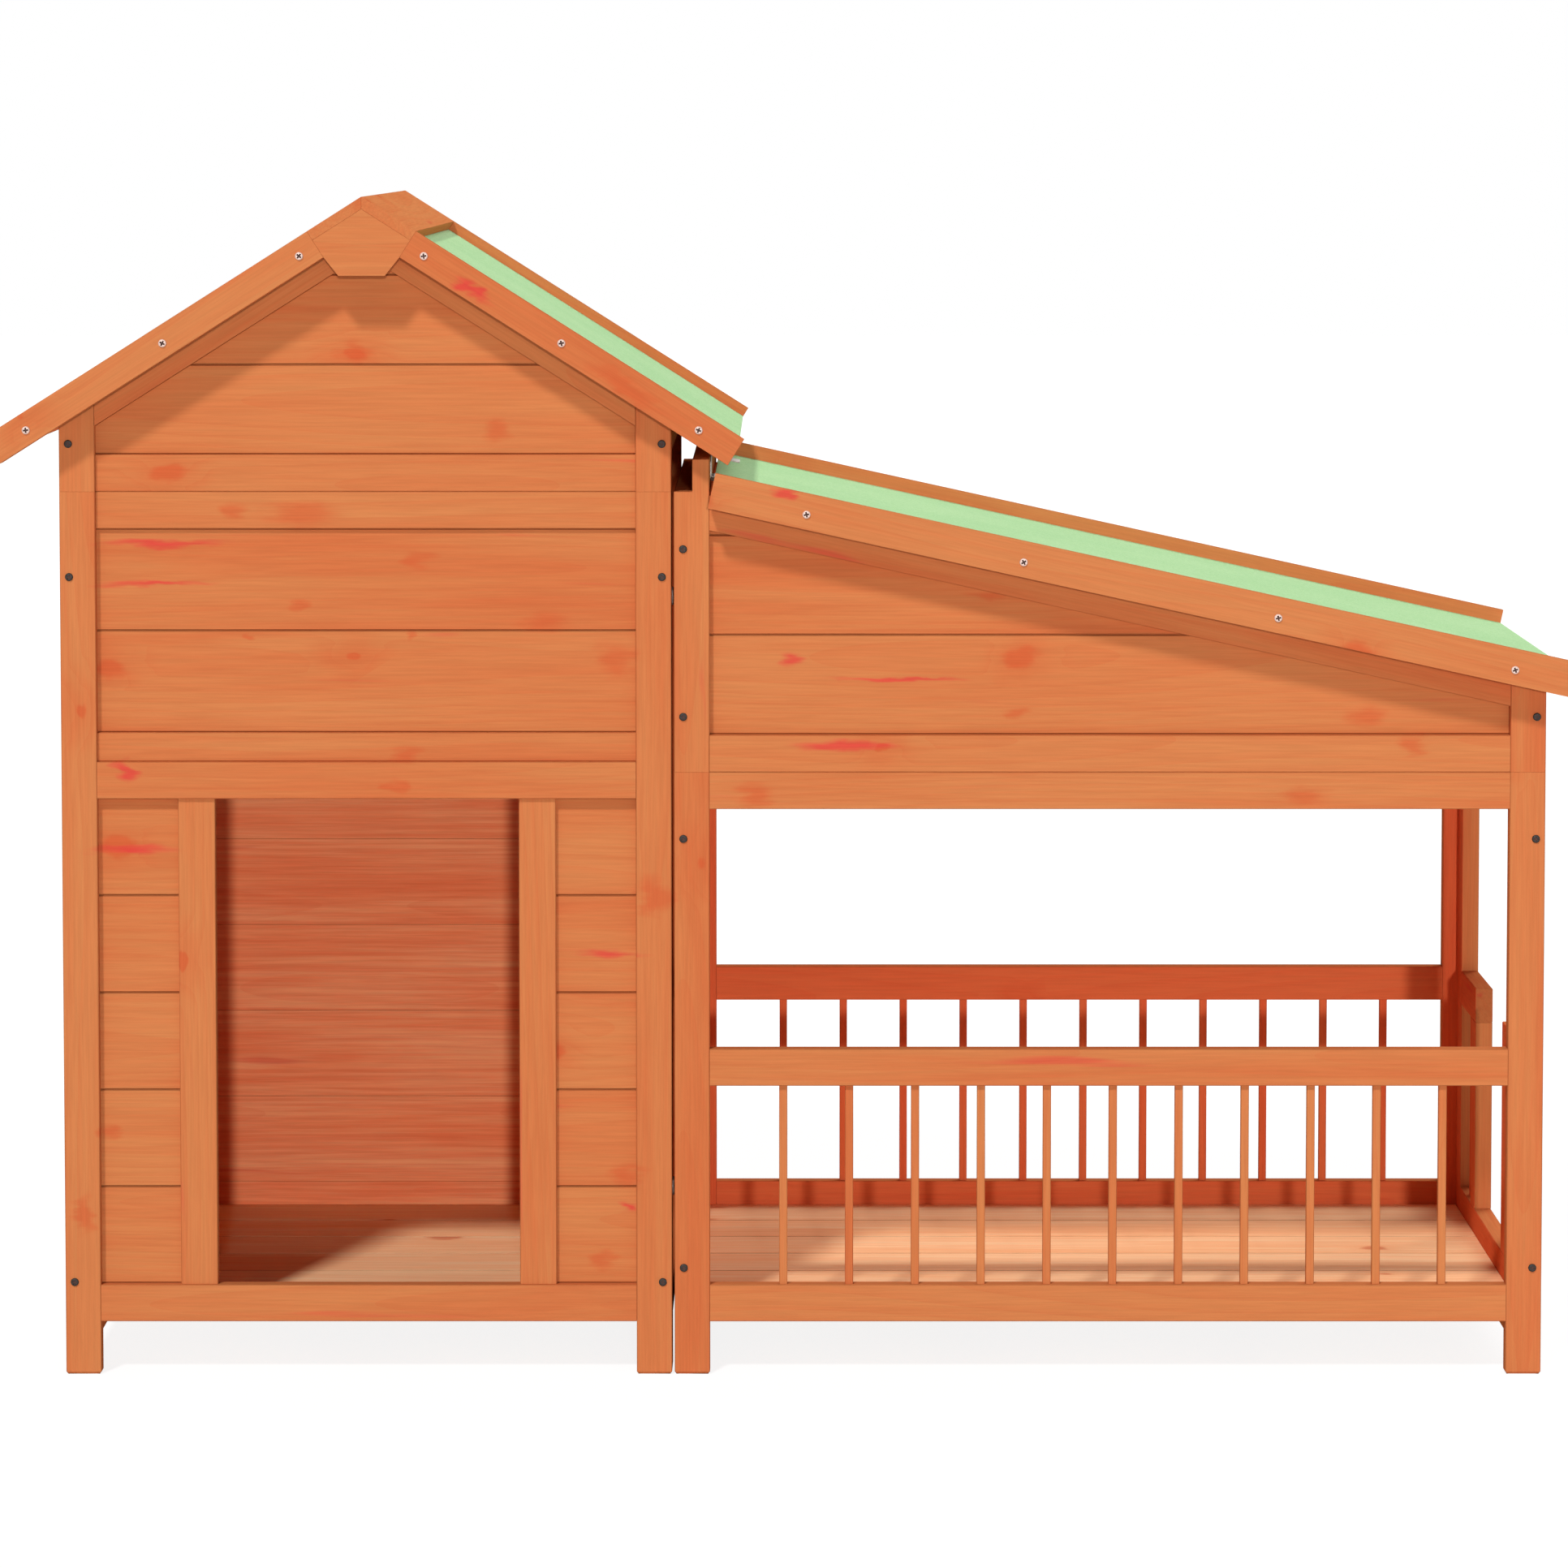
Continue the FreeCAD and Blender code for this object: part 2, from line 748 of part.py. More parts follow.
def side_baluster_places():
    """One baluster in the middle of each short fence section of the open side."""
    newel_inner = -entry_width / 2 - stile_width
    y = (side_stile_end + newel_inner) / 2
    x = porch_right - frame_thickness / 2
    return [(x, y), (x, -y)]


def balusters(places):
    half = baluster_size / 2
    z0 = rail_top - baluster_socket
    z1 = fence_rail_bottom + baluster_socket
    return [
        bar((x - half, y - half, z0), (x + half, y + half, z1), Z, baluster_ease)
        for x, y in places
    ]


def baluster_sockets(places):
    """Mortises in the rails, a little wider and deeper than the balusters' ends."""
    half = baluster_size / 2 + screw_clearance
    z0 = rail_top - baluster_socket - seat_clearance
    z1 = fence_rail_bottom + baluster_socket + seat_clearance
    return [block((x - half, y - half, z0), (x + half, y + half, z1)) for x, y in places]


def porch_stiles():
    lo = (porch_left, front_face, 0)
    hi = (porch_inner_left, front_inside, porch_panel_height)
    left = bar(lo, hi, Z)
    lo = (porch_inner_right, front_face, 0)
    hi = (porch_right, front_inside, porch_panel_height)
    return cut([left, bar(lo, hi, Z)], frame_holes)


def porch_rails():
    rails = [
        front_rail(porch_left, porch_right, z, frame_thickness, rail_width)
        for z in (leg_height, fence_rail_bottom, porch_top_rail_bottom)
    ]
    return cut(rails, baluster_sockets(baluster_places()))


# ---- porch: upper front and back panels ----
rest_depth = porch_under + rest_gap / math.cos(porch_slope)
sloping_low = porch_under + rest_gap + sloping_rail_width


def porch_upper_stiles():
    """Left stile notched beside the hinge rail; right stile cut to the roof's slope."""
    left = left_stile(porch_left, porch_panel_height, hinge_rail_top, porch_upper_rail_top)
    notch = block((porch_left - far, -far, house_panel_height), (notch_x, far, far))
    top = porch_plane_z(porch_inner_right, porch_under)
    right = right_stile(porch_right, porch_panel_height, top, porch_upper_rail_top)
    right = clip([right], below_porch_roof(rest_depth))
    return cut([left.cut(notch)] + right, frame_holes)


def porch_upper_rails():
    """Bottom rail and the sloping rail that the lifting roof rests on."""
    bottom = front_rail(
        porch_left, porch_right, porch_panel_height, frame_thickness, rail_width
    )
    left, right = porch_inner_left, porch_inner_right
    outline = [
        (left, porch_plane_z(left, rest_depth)), (right, porch_plane_z(right, rest_depth)),
        (right, porch_plane_z(right, sloping_low)), (left, porch_plane_z(left, sloping_low)),
    ]
    return [bottom, prism(outline, Y * front_face, X, Z, Y, frame_thickness)]


def porch_upper_boards():
    """Boards of the sloping panel, cut under the sloping rail."""
    high = porch_plane_z(porch_inner_left, sloping_low)
    rows = math.ceil((high - porch_upper_rail_top) / board_cover)
    top = porch_upper_rail_top + rows * board_cover
    boards = front_boards(
        porch_inner_left, porch_inner_right, porch_upper_rail_top, top, board_cover
    )
    return clip(boards, below_porch_roof(sloping_low))


# ---- porch: side against the cabin ----
def porch_left_stiles():
    return cut(side_stiles(porch_left, house_panel_height), frame_holes + bolt_holes)


def porch_left_rails():
    levels = (leg_height, fence_rail_bottom, upper_rail_bottom)
    return [side_rail(porch_left, z, z + rail_width) for z in levels]


def hinge_rail():
    lo = (notch_x, front_inside, hinge_rail_top - hinge_rail_height)
    hi = (hinge_face, -front_inside, hinge_rail_top)
    return [bar(lo, hi, Y)]


# ---- porch: open side ----
side_x = porch_right - frame_thickness


def porch_side_stiles():
    return cut(side_stiles(side_x, porch_panel_height), frame_holes)


def porch_side_rails():
    bottom = side_rail(side_x, leg_height, rail_top)
    top = side_rail(side_x, porch_top_rail_bottom, porch_panel_height)
    return cut([bottom, top], baluster_sockets(side_baluster_places()))


def newels():
    """Short posts on both sides of the way in."""
    y0 = -entry_width / 2 - stile_width
    lo = (side_x, y0, rail_top)
    hi = (porch_right, y0 + stile_width, fence_rail_bottom)
    front = bar(lo, hi, Z)
    return [front] + to_back([front])


def handrails():
    """Short rails from the side panel's stiles, over the newels."""
    lo = (side_x, side_stile_end, fence_rail_bottom)
    hi = (porch_right, -entry_width / 2, fence_height)
    front = bar(lo, hi, Y)
    return cut([front] + to_back([front]), baluster_sockets(side_baluster_places()))


def porch_side_upper_frame():
    """Uprights and rail of the narrow panel over the way in."""
    top = porch_plane_z(side_x, porch_under)
    lo = (side_x, front_inside, porch_panel_height)
    hi = (porch_right, side_stile_end, top)
    front = bar(lo, hi, Z)
    stiles = clip([front] + to_back([front]), below_porch_roof(rest_depth))
    rail = side_rail(side_x, porch_panel_height, porch_upper_rail_top)
    return cut(stiles, frame_holes) + [rail]


def porch_side_upper_board():
    origin = FreeCAD.Vector(side_x + board_thickness, side_stile_end, porch_upper_rail_top)
    top = porch_plane_z(side_x, porch_under)
    outline = board_outline(top - porch_upper_rail_top, board_thickness, False, False)
    board = prism(outline, origin, Z, -X, Y, -2 * side_stile_end)
    return clip([board], below_porch_roof(rest_depth))


# ---- porch roof ----
def porch_strip(s0, s1, depth0, depth1):
    return [
        porch_point(s0, depth0), porch_point(s1, depth0),
        porch_point(s1, depth1), porch_point(s0, depth1),
    ]


def porch_roof_boards():
    s_end = porch_roof_length - felt_thickness
    x, z = porch_point(s_end, porch_felt_bottom)
    up = FreeCAD.Vector(-math.cos(porch_slope), 0, math.sin(porch_slope))
    inward = FreeCAD.Vector(-math.sin(porch_slope), 0, -math.cos(porch_slope))
    boards = boarding(
        FreeCAD.Vector(x, barge_back, z), Y, up, inward, -2 * barge_back,
        s_end, roof_board_cover, roof_board_thickness,
    )
    return cut(boards, porch_barge_holes)


def porch_roof_felt():
    s_end = porch_roof_length
    outline = [
        porch_point(0, porch_felt_depth), porch_point(s_end, porch_felt_depth),
        porch_point(s_end, porch_under), porch_point(s_end - felt_thickness, porch_under),
        porch_point(s_end - felt_thickness, porch_felt_bottom),
        porch_point(0, porch_felt_bottom),
    ]
    return [prism(outline, Y * barge_back, X, Z, Y, -2 * barge_back)]


def porch_barge_boards():
    outline = porch_strip(0, porch_roof_length, 0, porch_barge_width)
    front = [prism(outline, Y * verge_face, X, Z, Y, barge_thickness)]
    return cut(front + to_back(front), porch_barge_holes)


def porch_roof_battens():
    s_end = porch_roof_length - felt_thickness
    outline = porch_strip(0, s_end, porch_under, porch_under + porch_batten_thickness)
    front = [prism(outline, Y * barge_back, X, Z, Y, roof_batten_width)]
    return front + to_back(front)


# ---- butt hinges ----
hinge_x = hinge_face + knuckle_radius + seat_clearance
hinge_z = porch_plane_z(hinge_x, porch_felt_depth)
hinge_z += (knuckle_radius + rest_gap) / math.cos(porch_slope)
knuckle_length = (hinge_length - 2 * knuckle_gap) / 3


def hinge_starts():
    """Front ends of the hinges, spread evenly between the outer two."""
    first = front_face + hinge_end_distance
    step = -2 * first / (hinge_count - 1)
    return [first + i * step - hinge_length / 2 for i in range(hinge_count)]


def knuckle(y, bore_radius):
    tube = rod(FreeCAD.Vector(hinge_x, y, hinge_z), Y, knuckle_radius, knuckle_length)
    return tube, rod(FreeCAD.Vector(hinge_x, y, hinge_z), Y, bore_radius, knuckle_length)


def rail_leaf(y):
    """Upright leaf on the hinge rail with the two outer knuckles."""
    low = hinge_z
    lo = (hinge_face, y, low)
    hi = (hinge_face + leaf_thickness, y + hinge_length, hinge_rail_top - edge_ease)
    leaf = block(lo, hi)
    clear = knuckle_radius + knuckle_gap
    middle = y + knuckle_length
    gap = block(
        (hinge_face - 1, middle, low - clear),
        (hinge_x + clear, middle + knuckle_length + 2 * knuckle_gap, low + clear),
    )
    leaf = leaf.cut(gap)
    for start in (y, y + 2 * (knuckle_length + knuckle_gap)):
        tube, bore = knuckle(start, pin_radius + pin_clearance)
        leaf = leaf.fuse(tube).cut(bore)
    return leaf.Solids[0]


def roof_leaf(y):
    """Sloping leaf on the felt with the middle knuckle."""
    foot = FreeCAD.Vector(hinge_x, y, hinge_z)
    along = FreeCAD.Vector(math.cos(porch_slope), 0, -math.sin(porch_slope))
    inward = FreeCAD.Vector(-math.sin(porch_slope), 0, -math.cos(porch_slope))
    bottom = knuckle_radius + rest_gap
    outline = [
        (0, bottom - leaf_thickness), (leaf_width, bottom - leaf_thickness),
        (leaf_width, bottom), (0, bottom),
    ]
    leaf = prism(outline, foot, along, inward, Y, hinge_length)
    clear = knuckle_radius + knuckle_gap
    for start in (y - knuckle_gap, y + 2 * knuckle_length + knuckle_gap):
        length = knuckle_length + 2 * knuckle_gap
        lo = (hinge_x - 2 * clear, start, hinge_z - far)
        leaf = leaf.cut(block(lo, (hinge_x + clear, start + length, hinge_z + far)))
    tube, bore = knuckle(y + knuckle_length + knuckle_gap, pin_radius + pin_clearance)
    return leaf.fuse(tube).cut(bore).Solids[0]


def hinge_pin(y):
    return rod(FreeCAD.Vector(hinge_x, y, hinge_z), Y, pin_radius, hinge_length)


# ---- the whole house, one entry per node ----
house_right_stiles = cut(to_house_right(house_side_stiles()), bolt_holes)
nodes = {
    "house_front_stiles": house_stiles(),
    "house_front_bottom_rail": house_bottom_rail(),
    "house_front_upper_rail": house_upper_rail(),
    "door_lintel": door_lintel(),
    "door_transom": door_transom(),
    "door_jambs": door_jambs(),
    "doorside_boards": doorside_boards(),
    "front_upper_boards": front_upper_boards(),
    "house_back_stiles": to_back(house_stiles()),
    "house_back_rails": to_back(house_bottom_rail() + house_upper_rail()),
    "house_back_boards": house_back_boards(),
    "gable_front_frame": gable_stiles() + gable_rail() + gable_rafters(),
    "gable_front_boards": gable_boards(),
    "gable_back_frame": to_back(gable_stiles() + gable_rail() + gable_rafters()),
    "gable_back_boards": to_back(gable_boards()),
    "house_left_stiles": house_side_stiles(),
    "house_left_rails": house_side_rails(),
    "house_left_boards": house_side_boards(),
    "house_right_stiles": house_right_stiles,
    "house_right_rails": to_house_right(house_side_rails()),
    "house_right_boards": to_house_right(house_side_boards()),
    "house_floor_boards": floor_boards(house_left, house_right),
    "house_floor_bearers": floor_bearers(house_left, house_right, house_batten_count),
    "roof_boards_right": roof_boards(),
    "roof_boards_left": to_house_right(roof_boards()),
    "roof_felt_right": roof_felt(),
    "roof_felt_left": to_house_right(roof_felt()),
    "ridge_caps": ridge_caps(),
    "barge_boards_front": barge_boards(),
    "barge_boards_back": to_back(barge_boards()),
    "gusset_plates": gusset_plate() + to_back(gusset_plate()),
    "roof_battens": roof_battens(),
    "porch_front_stiles": porch_stiles(),
    "porch_front_rails": porch_rails(),
    "porch_front_balusters": balusters(baluster_places()),
    "porch_front_upper_frame": porch_upper_stiles() + porch_upper_rails(),
    "porch_front_upper_boards": porch_upper_boards(),
    "porch_back_frame": to_back(porch_stiles() + porch_rails()),
    "porch_back_balusters": to_back(balusters(baluster_places())),
    "porch_back_upper_frame": to_back(porch_upper_stiles() + porch_upper_rails()),
    "porch_back_upper_boards": to_back(porch_upper_boards()),
    "porch_left_frame": porch_left_stiles() + porch_left_rails(),
    "hinge_rail": hinge_rail(),
    "porch_side_frame": porch_side_stiles() + porch_side_rails(),
    "porch_side_fence": newels() + handrails() + balusters(side_baluster_places()),
    "porch_side_upper_panel": porch_side_upper_frame() + porch_side_upper_board(),
    "deck_boards": floor_boards(porch_left, porch_right),
    "deck_bearers": floor_bearers(porch_left, porch_right, deck_batten_count),
    "joining_bolt_sets": joining_bolts() + joining_nuts() + spacer_washers(),
    "frame_screws": screws(house_points + porch_points, frame_screw_length),
    "barge_screws": screws(house_barge_screw_points(), barge_screw_length),
    "hinge_rail_leaves": [rail_leaf(y) for y in hinge_starts()],
    "hinge_pins": [hinge_pin(y) for y in hinge_starts()],
    "porch_roof_boards": porch_roof_boards(),
    "porch_roof_felt": porch_roof_felt(),
    "porch_barge_boards": porch_barge_boards(),
    "porch_roof_battens": porch_roof_battens(),
    "porch_barge_screws": screws(porch_barge_screw_points(), barge_screw_length),
    "hinge_roof_leaves": [roof_leaf(y) for y in hinge_starts()],
}

for name, solids in nodes.items():
    Part.makeCompound(solids).exportStep(f"parts/{name}.step")
print(f"{len(nodes)} nodes, {sum(len(solids) for solids in nodes.values())} solids")
print(f"porch roof: slope {math.degrees(porch_slope):.2f} degrees, "
      f"hinge axis at x {hinge_x:.2f}, z {hinge_z:.2f}")
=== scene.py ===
# %% [markdown]
# # A timber dog house with a porch
# The imported CAD model gives every rail, board and screw its shape and place. This lesson gives each
# of them the surface of the real thing: orange stained pine whose grain runs along every piece by
# itself, pale green roofing felt, and zinc and black screws. The frame is loaded first.

import json
import math
import random

import bmesh
import bpy
from mathutils import Matrix, Vector

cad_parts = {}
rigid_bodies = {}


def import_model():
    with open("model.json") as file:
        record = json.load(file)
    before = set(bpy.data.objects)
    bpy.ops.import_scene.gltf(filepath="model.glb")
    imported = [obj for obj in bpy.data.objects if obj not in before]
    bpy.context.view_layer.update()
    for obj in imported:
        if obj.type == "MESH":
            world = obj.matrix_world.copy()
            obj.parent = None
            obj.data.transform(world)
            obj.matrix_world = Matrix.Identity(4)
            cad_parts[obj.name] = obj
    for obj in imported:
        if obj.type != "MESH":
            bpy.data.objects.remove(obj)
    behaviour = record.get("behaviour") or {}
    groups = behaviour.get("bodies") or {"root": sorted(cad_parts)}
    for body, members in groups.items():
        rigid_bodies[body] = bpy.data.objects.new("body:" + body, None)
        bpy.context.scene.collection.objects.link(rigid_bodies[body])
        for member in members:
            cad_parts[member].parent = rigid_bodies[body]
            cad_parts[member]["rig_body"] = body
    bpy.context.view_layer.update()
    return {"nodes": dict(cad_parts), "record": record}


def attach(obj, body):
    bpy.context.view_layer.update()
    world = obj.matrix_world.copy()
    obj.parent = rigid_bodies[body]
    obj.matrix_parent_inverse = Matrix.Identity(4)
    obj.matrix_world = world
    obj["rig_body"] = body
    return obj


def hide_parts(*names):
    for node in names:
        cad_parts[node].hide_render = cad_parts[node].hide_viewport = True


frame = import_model()
nodes = frame["nodes"]

# %% [markdown]
# ## The camera
# The photograph looks straight at the front from six metres away, from a little above the ridge, so
# the perspective is weak and the uprights stay nearly parallel. A real photographer would shift the
# lens down to keep them so. Most of that is done here by tilting the camera, and only a part by
# shift, because a strong shift would push the house out of the frame in every other view.

# %% Camera
camera_height = 1.2073
camera_distance = 6.077
camera_tilt = math.radians(3.95)
camera_lens = 137.36
camera_shift = -0.15

bpy.ops.object.select_all(action="DESELECT")
bpy.ops.object.camera_add(
    location=(0, -camera_distance, camera_height),
    rotation=(math.pi / 2 - camera_tilt, 0, 0),
)
camera = bpy.context.object
camera.name = "photo_camera"
camera.data.lens = camera_lens
camera.data.sensor_width = 36
camera.data.shift_y = camera_shift
bpy.context.scene.camera = camera
print("camera at", tuple(round(v, 3) for v in camera.location))

# %% [markdown]
# ## Small helpers
# Operators act on what is selected, so each step starts by selecting one thing only. The node
# helpers add a shader node, fill in its inputs and link the ones that come from other nodes, which
# keeps the materials below short enough to read.

# %% Selection and node helpers
def pick(*things):
    """Selects these objects and nothing else."""
    bpy.ops.object.select_all(action="DESELECT")
    for thing in things:
        thing.select_set(True)
    bpy.context.view_layer.objects.active = things[0]


def fill_inputs(tree, node, inputs):
    """Gives each input of a shader node a value or another node's output."""
    for key, value in inputs.items():
        if isinstance(value, bpy.types.NodeSocket):
            tree.links.new(value, node.inputs[key])
        else:
            node.inputs[key].default_value = value
    return node


def add_node(tree, kind, inputs=None, **settings):
    """A new shader node with these inputs and settings."""
    made = tree.nodes.new(kind)
    for name, value in settings.items():
        setattr(made, name, value)
    return fill_inputs(tree, made, inputs or {})


def maths(tree, operation, first, second=0.0, third=0.0, clamp=False):
    inputs = {0: first, 1: second, 2: third}
    made = add_node(tree, "ShaderNodeMath", inputs, operation=operation, use_clamp=clamp)
    return made.outputs[0]


def scaled(tree, vector, factors):
    """A vector multiplied axis by axis, which stretches the pattern that reads it."""
    made = add_node(tree, "ShaderNodeVectorMath", {0: vector, 1: factors}, operation="MULTIPLY")
    return made.outputs[0]


def ramp(tree, value, low, high, start=0.0, end=1.0):
    """A smooth step: start below low, end above high."""
    made = add_node(tree, "ShaderNodeMapRange", interpolation_type="SMOOTHSTEP", inputs={
        "Value": value, "From Min": low, "From Max": high, "To Min": start, "To Max": end,
    })
    return made.outputs["Result"]


def noise(tree, vector, scale, detail=2.0, roughness=0.5, distortion=0.0):
    made = add_node(tree, "ShaderNodeTexNoise", {
        "Vector": vector, "Scale": scale, "Detail": detail,
        "Roughness": roughness, "Distortion": distortion,
    })
    return made.outputs["Fac"]


def blend(tree, share, first, second, blend_type="MIX"):
    """Mixes two colours by a share."""
    inputs = {0: share, 6: first, 7: second}
    made = add_node(tree, "ShaderNodeMix", inputs, data_type="RGBA", blend_type=blend_type)
    return made.outputs[2]


def new_group(name, inputs, outputs):
    """A shader node group with named sockets: its tree and its input and output nodes."""
    tree = bpy.data.node_groups.new(name, "ShaderNodeTree")
    for label, kind, value in inputs:
        socket = tree.interface.new_socket(label, in_out="INPUT", socket_type=kind)
        if value is not None:
            socket.default_value = value
    for label, kind in outputs:
        tree.interface.new_socket(label, in_out="OUTPUT", socket_type=kind)
    return tree, tree.nodes.new("NodeGroupInput"), tree.nodes.new("NodeGroupOutput")


def place_group(tree, group, inputs):
    return add_node(tree, "ShaderNodeGroup", inputs, node_tree=group)


def new_material(name):
    """An empty material: itself, its node tree and its Principled BSDF."""
    material = bpy.data.materials.new(name)
    material.use_nodes = True
    return material, material.node_tree, material.node_tree.nodes["Principled BSDF"]


def add_bump(tree, shader, strength, distance, height):
    inputs = {"Strength": strength, "Distance": distance, "Height": height}
    bump = add_node(tree, "ShaderNodeBump", inputs)
    tree.links.new(bump.outputs["Normal"], shader.inputs["Normal"])


def srgb(red, green, blue):
    """A colour as a screen shows it, 0 to 255, in the linear values that shaders use."""
    def linear(c):
        c = c / 255
        return c / 12.92 if c <= 0.04045 else ((c + 0.055) / 1.055) ** 2.4
    return (linear(red), linear(green), linear(blue), 1.0)


print("helpers ready")

# %% [markdown]
# ## Timber with its own grain
# A joiner's rails and boards are cut from different trees, and the grain always runs along the
# piece. A single texture over the whole house would slide across the joints and give that away.
# So each CAD node is copied, its triangles are merged into clean faces, and every separate timber
# in it gets two attributes: `grain`, its points measured from the middle of the tree that it was
# sawn from, with x along the fibres, and `tone`, one number by which its stain differs.
# The longest edge of a timber gives the direction of the fibres, and its largest face shows which
# way the board lay in the log. A third attribute, `soaked`, marks the sawn ends and the bevels of
# the joints, which take up more stain than the faces do and so draw the dark lines between boards.

# %% Copy a node and find its separate timbers
weld_distance = 0.00002
flat_angle = math.radians(0.5)


def closed_solids(shape):
    """Lists of points, one for each closed solid, in the order in which the triangles come.

    Each edge of a closed solid is walked once in each direction. So the triangles are read in
    order, and a solid is complete as soon as no walked edge still misses its way back. The points
    are collected as keys, which keep their order, so that every run merges them alike.
    """
    solids, current, open_edges = [], {}, {}
    for face in shape.faces:
        current.update(dict.fromkeys(face.verts))
        spots = [tuple(round(c, 5) for c in v.co) for v in face.verts]
        for here, there in zip(spots, spots[1:] + spots[:1]):
            if here == there:
                continue
            if open_edges.get((there, here)):
                open_edges[there, here] -= 1
                if not open_edges[there, here]:
                    del open_edges[there, here]
            else:
                open_edges[here, there] = open_edges.get((here, there), 0) + 1
        if not open_edges:
            solids.append(list(current))
            current = {}
    if current:
        solids.append(list(current))
    return solids


def clean_copy(name, new_name):
    """A copy of a CAD node whose solids have merged points and whole faces."""
    mesh = nodes[name].data.copy()
    shape = bmesh.new()
    shape.from_mesh(mesh)
    for points in closed_solids(shape):
        bmesh.ops.remove_doubles(shape, verts=points, dist=weld_distance)
    shape.to_mesh(mesh)
    shape.free()
    piece = bpy.data.objects.new(new_name, mesh)
    bpy.context.scene.collection.objects.link(piece)
    mesh.materials.clear()
    pick(piece)
    bpy.ops.object.mode_set(mode="EDIT")
    bpy.ops.mesh.select_all(action="SELECT")
    bpy.ops.mesh.dissolve_limited(angle_limit=flat_angle)
    bpy.ops.object.mode_set(mode="OBJECT")
    return piece


def islands(mesh):
    """Lists of point numbers, one for each separate solid of a mesh."""
    leader = list(range(len(mesh.vertices)))

    def top(i):
        while leader[i] != i:
            leader[i] = leader[leader[i]]
            i = leader[i]
        return i

    for edge in mesh.edges:
        a, b = top(edge.vertices[0]), top(edge.vertices[1])
        leader[max(a, b)] = min(a, b)
    groups = {}
    for i in range(len(leader)):
        groups.setdefault(top(i), []).append(i)
    return [groups[key] for key in sorted(groups)]


def timber_axes(mesh, points, along=None):
    """Directions along the fibres, across the board and through it."""
    members = set(points)
    co = mesh.vertices
    if along is None:
        longest = max(
            (e for e in mesh.edges if e.vertices[0] in members),
            key=lambda e: (co[e.vertices[1]].co - co[e.vertices[0]].co).length,
        )
        along = (co[longest.vertices[1]].co - co[longest.vertices[0]].co).normalized()
    broad = {}
    for face in mesh.polygons:
        if face.vertices[0] in members and abs(face.normal.dot(along)) < 0.5:
            key = tuple(round(abs(v), 2) for v in face.normal)
            total, normal = broad.get(key, (0.0, face.normal.copy()))
            broad[key] = (total + face.area, normal)
    through = max(broad.values(), key=lambda entry: entry[0])[1]
    across = through.cross(along).normalized()
    return along, across, across.cross(along).normalized()


probe = clean_copy("house_front_stiles", "probe")
print("separate timbers in the front stiles:", len(islands(probe.data)))
bpy.data.objects.remove(probe)

# %% [markdown]
# The pith, the middle of the tree, lies outside of a sawn board. Its place is drawn at random from a
# seed made of the node's name, so every run gives the same tree. A bevel modifier then rounds the
# sharp arrises by a few tenths of a millimetre, as sandpaper does, because edges that catch the
# light make timber look solid. It is applied before the attributes are written.

# %% Dress a timber node
arris_radius = 0.0004
arris_angle = math.radians(30)
pith_depth = (0.018, 0.060)
pith_side = 0.030
log_run = 40.0
end_facing = 0.8  # how squarely a sawn end looks along the fibres
bevel_facing = (0.3, 0.95)  # how squarely a joint's bevel looks across them


def round_arrises(piece, radius, segments=2):
    bevel = piece.modifiers.new("arrises", "BEVEL")
    bevel.width = radius
    bevel.segments = segments
    bevel.limit_method = "ANGLE"
    bevel.angle_limit = arris_angle
    bevel.use_clamp_overlap = True
    pick(piece)
    bpy.ops.object.modifier_apply(modifier=bevel.name)


def write_grain(piece, seed, level, vee):
    """Gives each timber of a piece its place in a log, its own tone and its soaked faces.

    The fibres lie level where level is true. A joint's bevel soaks up vee times as much stain as
    a sawn end.
    """
    mesh = piece.data
    mesh.attributes.new("grain", "FLOAT_VECTOR", "POINT")
    mesh.attributes.new("tone", "FLOAT", "POINT")
    grain = mesh.attributes["grain"].data
    tone = mesh.attributes["tone"].data
    fibres = {}
    found = islands(mesh)
    for number, points in enumerate(found):
        draw = random.Random(f"{seed}-{number}")
        along, across, through = timber_axes(mesh, points, Vector((1, 0, 0)) if level else None)
        middle = sum((mesh.vertices[i].co for i in points), Vector()) / len(points)
        start = draw.uniform(0, log_run)
        side = draw.uniform(-pith_side, pith_side)
        depth = draw.uniform(*pith_depth) * draw.choice((-1, 1))
        shade = draw.random()
        for i in points:
            place = mesh.vertices[i].co - middle
            grain[i].vector = (
                place.dot(along) + start, place.dot(across) + side, place.dot(through) + depth,
            )
            tone[i].value = shade
            fibres[i] = (along, across)
    mesh.attributes.new("soaked", "FLOAT", "FACE")
    soaked = mesh.attributes["soaked"].data
    for face in mesh.polygons:
        along, across = fibres[face.vertices[0]]
        if abs(face.normal.dot(along)) > end_facing:
            soaked[face.index].value = 1.0
        elif bevel_facing[0] < abs(face.normal.dot(across)) < bevel_facing[1]:
            soaked[face.index].value = vee
    return len(found)


body_of_node = {name: thing["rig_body"] for name, thing in nodes.items()}
slot_of_node = {row["node"]: row["material_slot"] for row in frame["record"]["subparts"]}


def finish_piece(piece, node, material):
    """Gives a new piece its material and body, and hides the CAD node that it stands in for."""
    while piece.data.materials:
        piece.data.materials.pop()
    piece.data.materials.append(material)
    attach(piece, body_of_node[node])
    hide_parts(node)
    return piece


level_grain_nodes = ("doorside_boards", "gusset_plates")
foot_bevel = 0.0024
vee_of_slot = {"wall_wood": 1.9, "floor_wood": 1.6}
frame_vee = 0.9


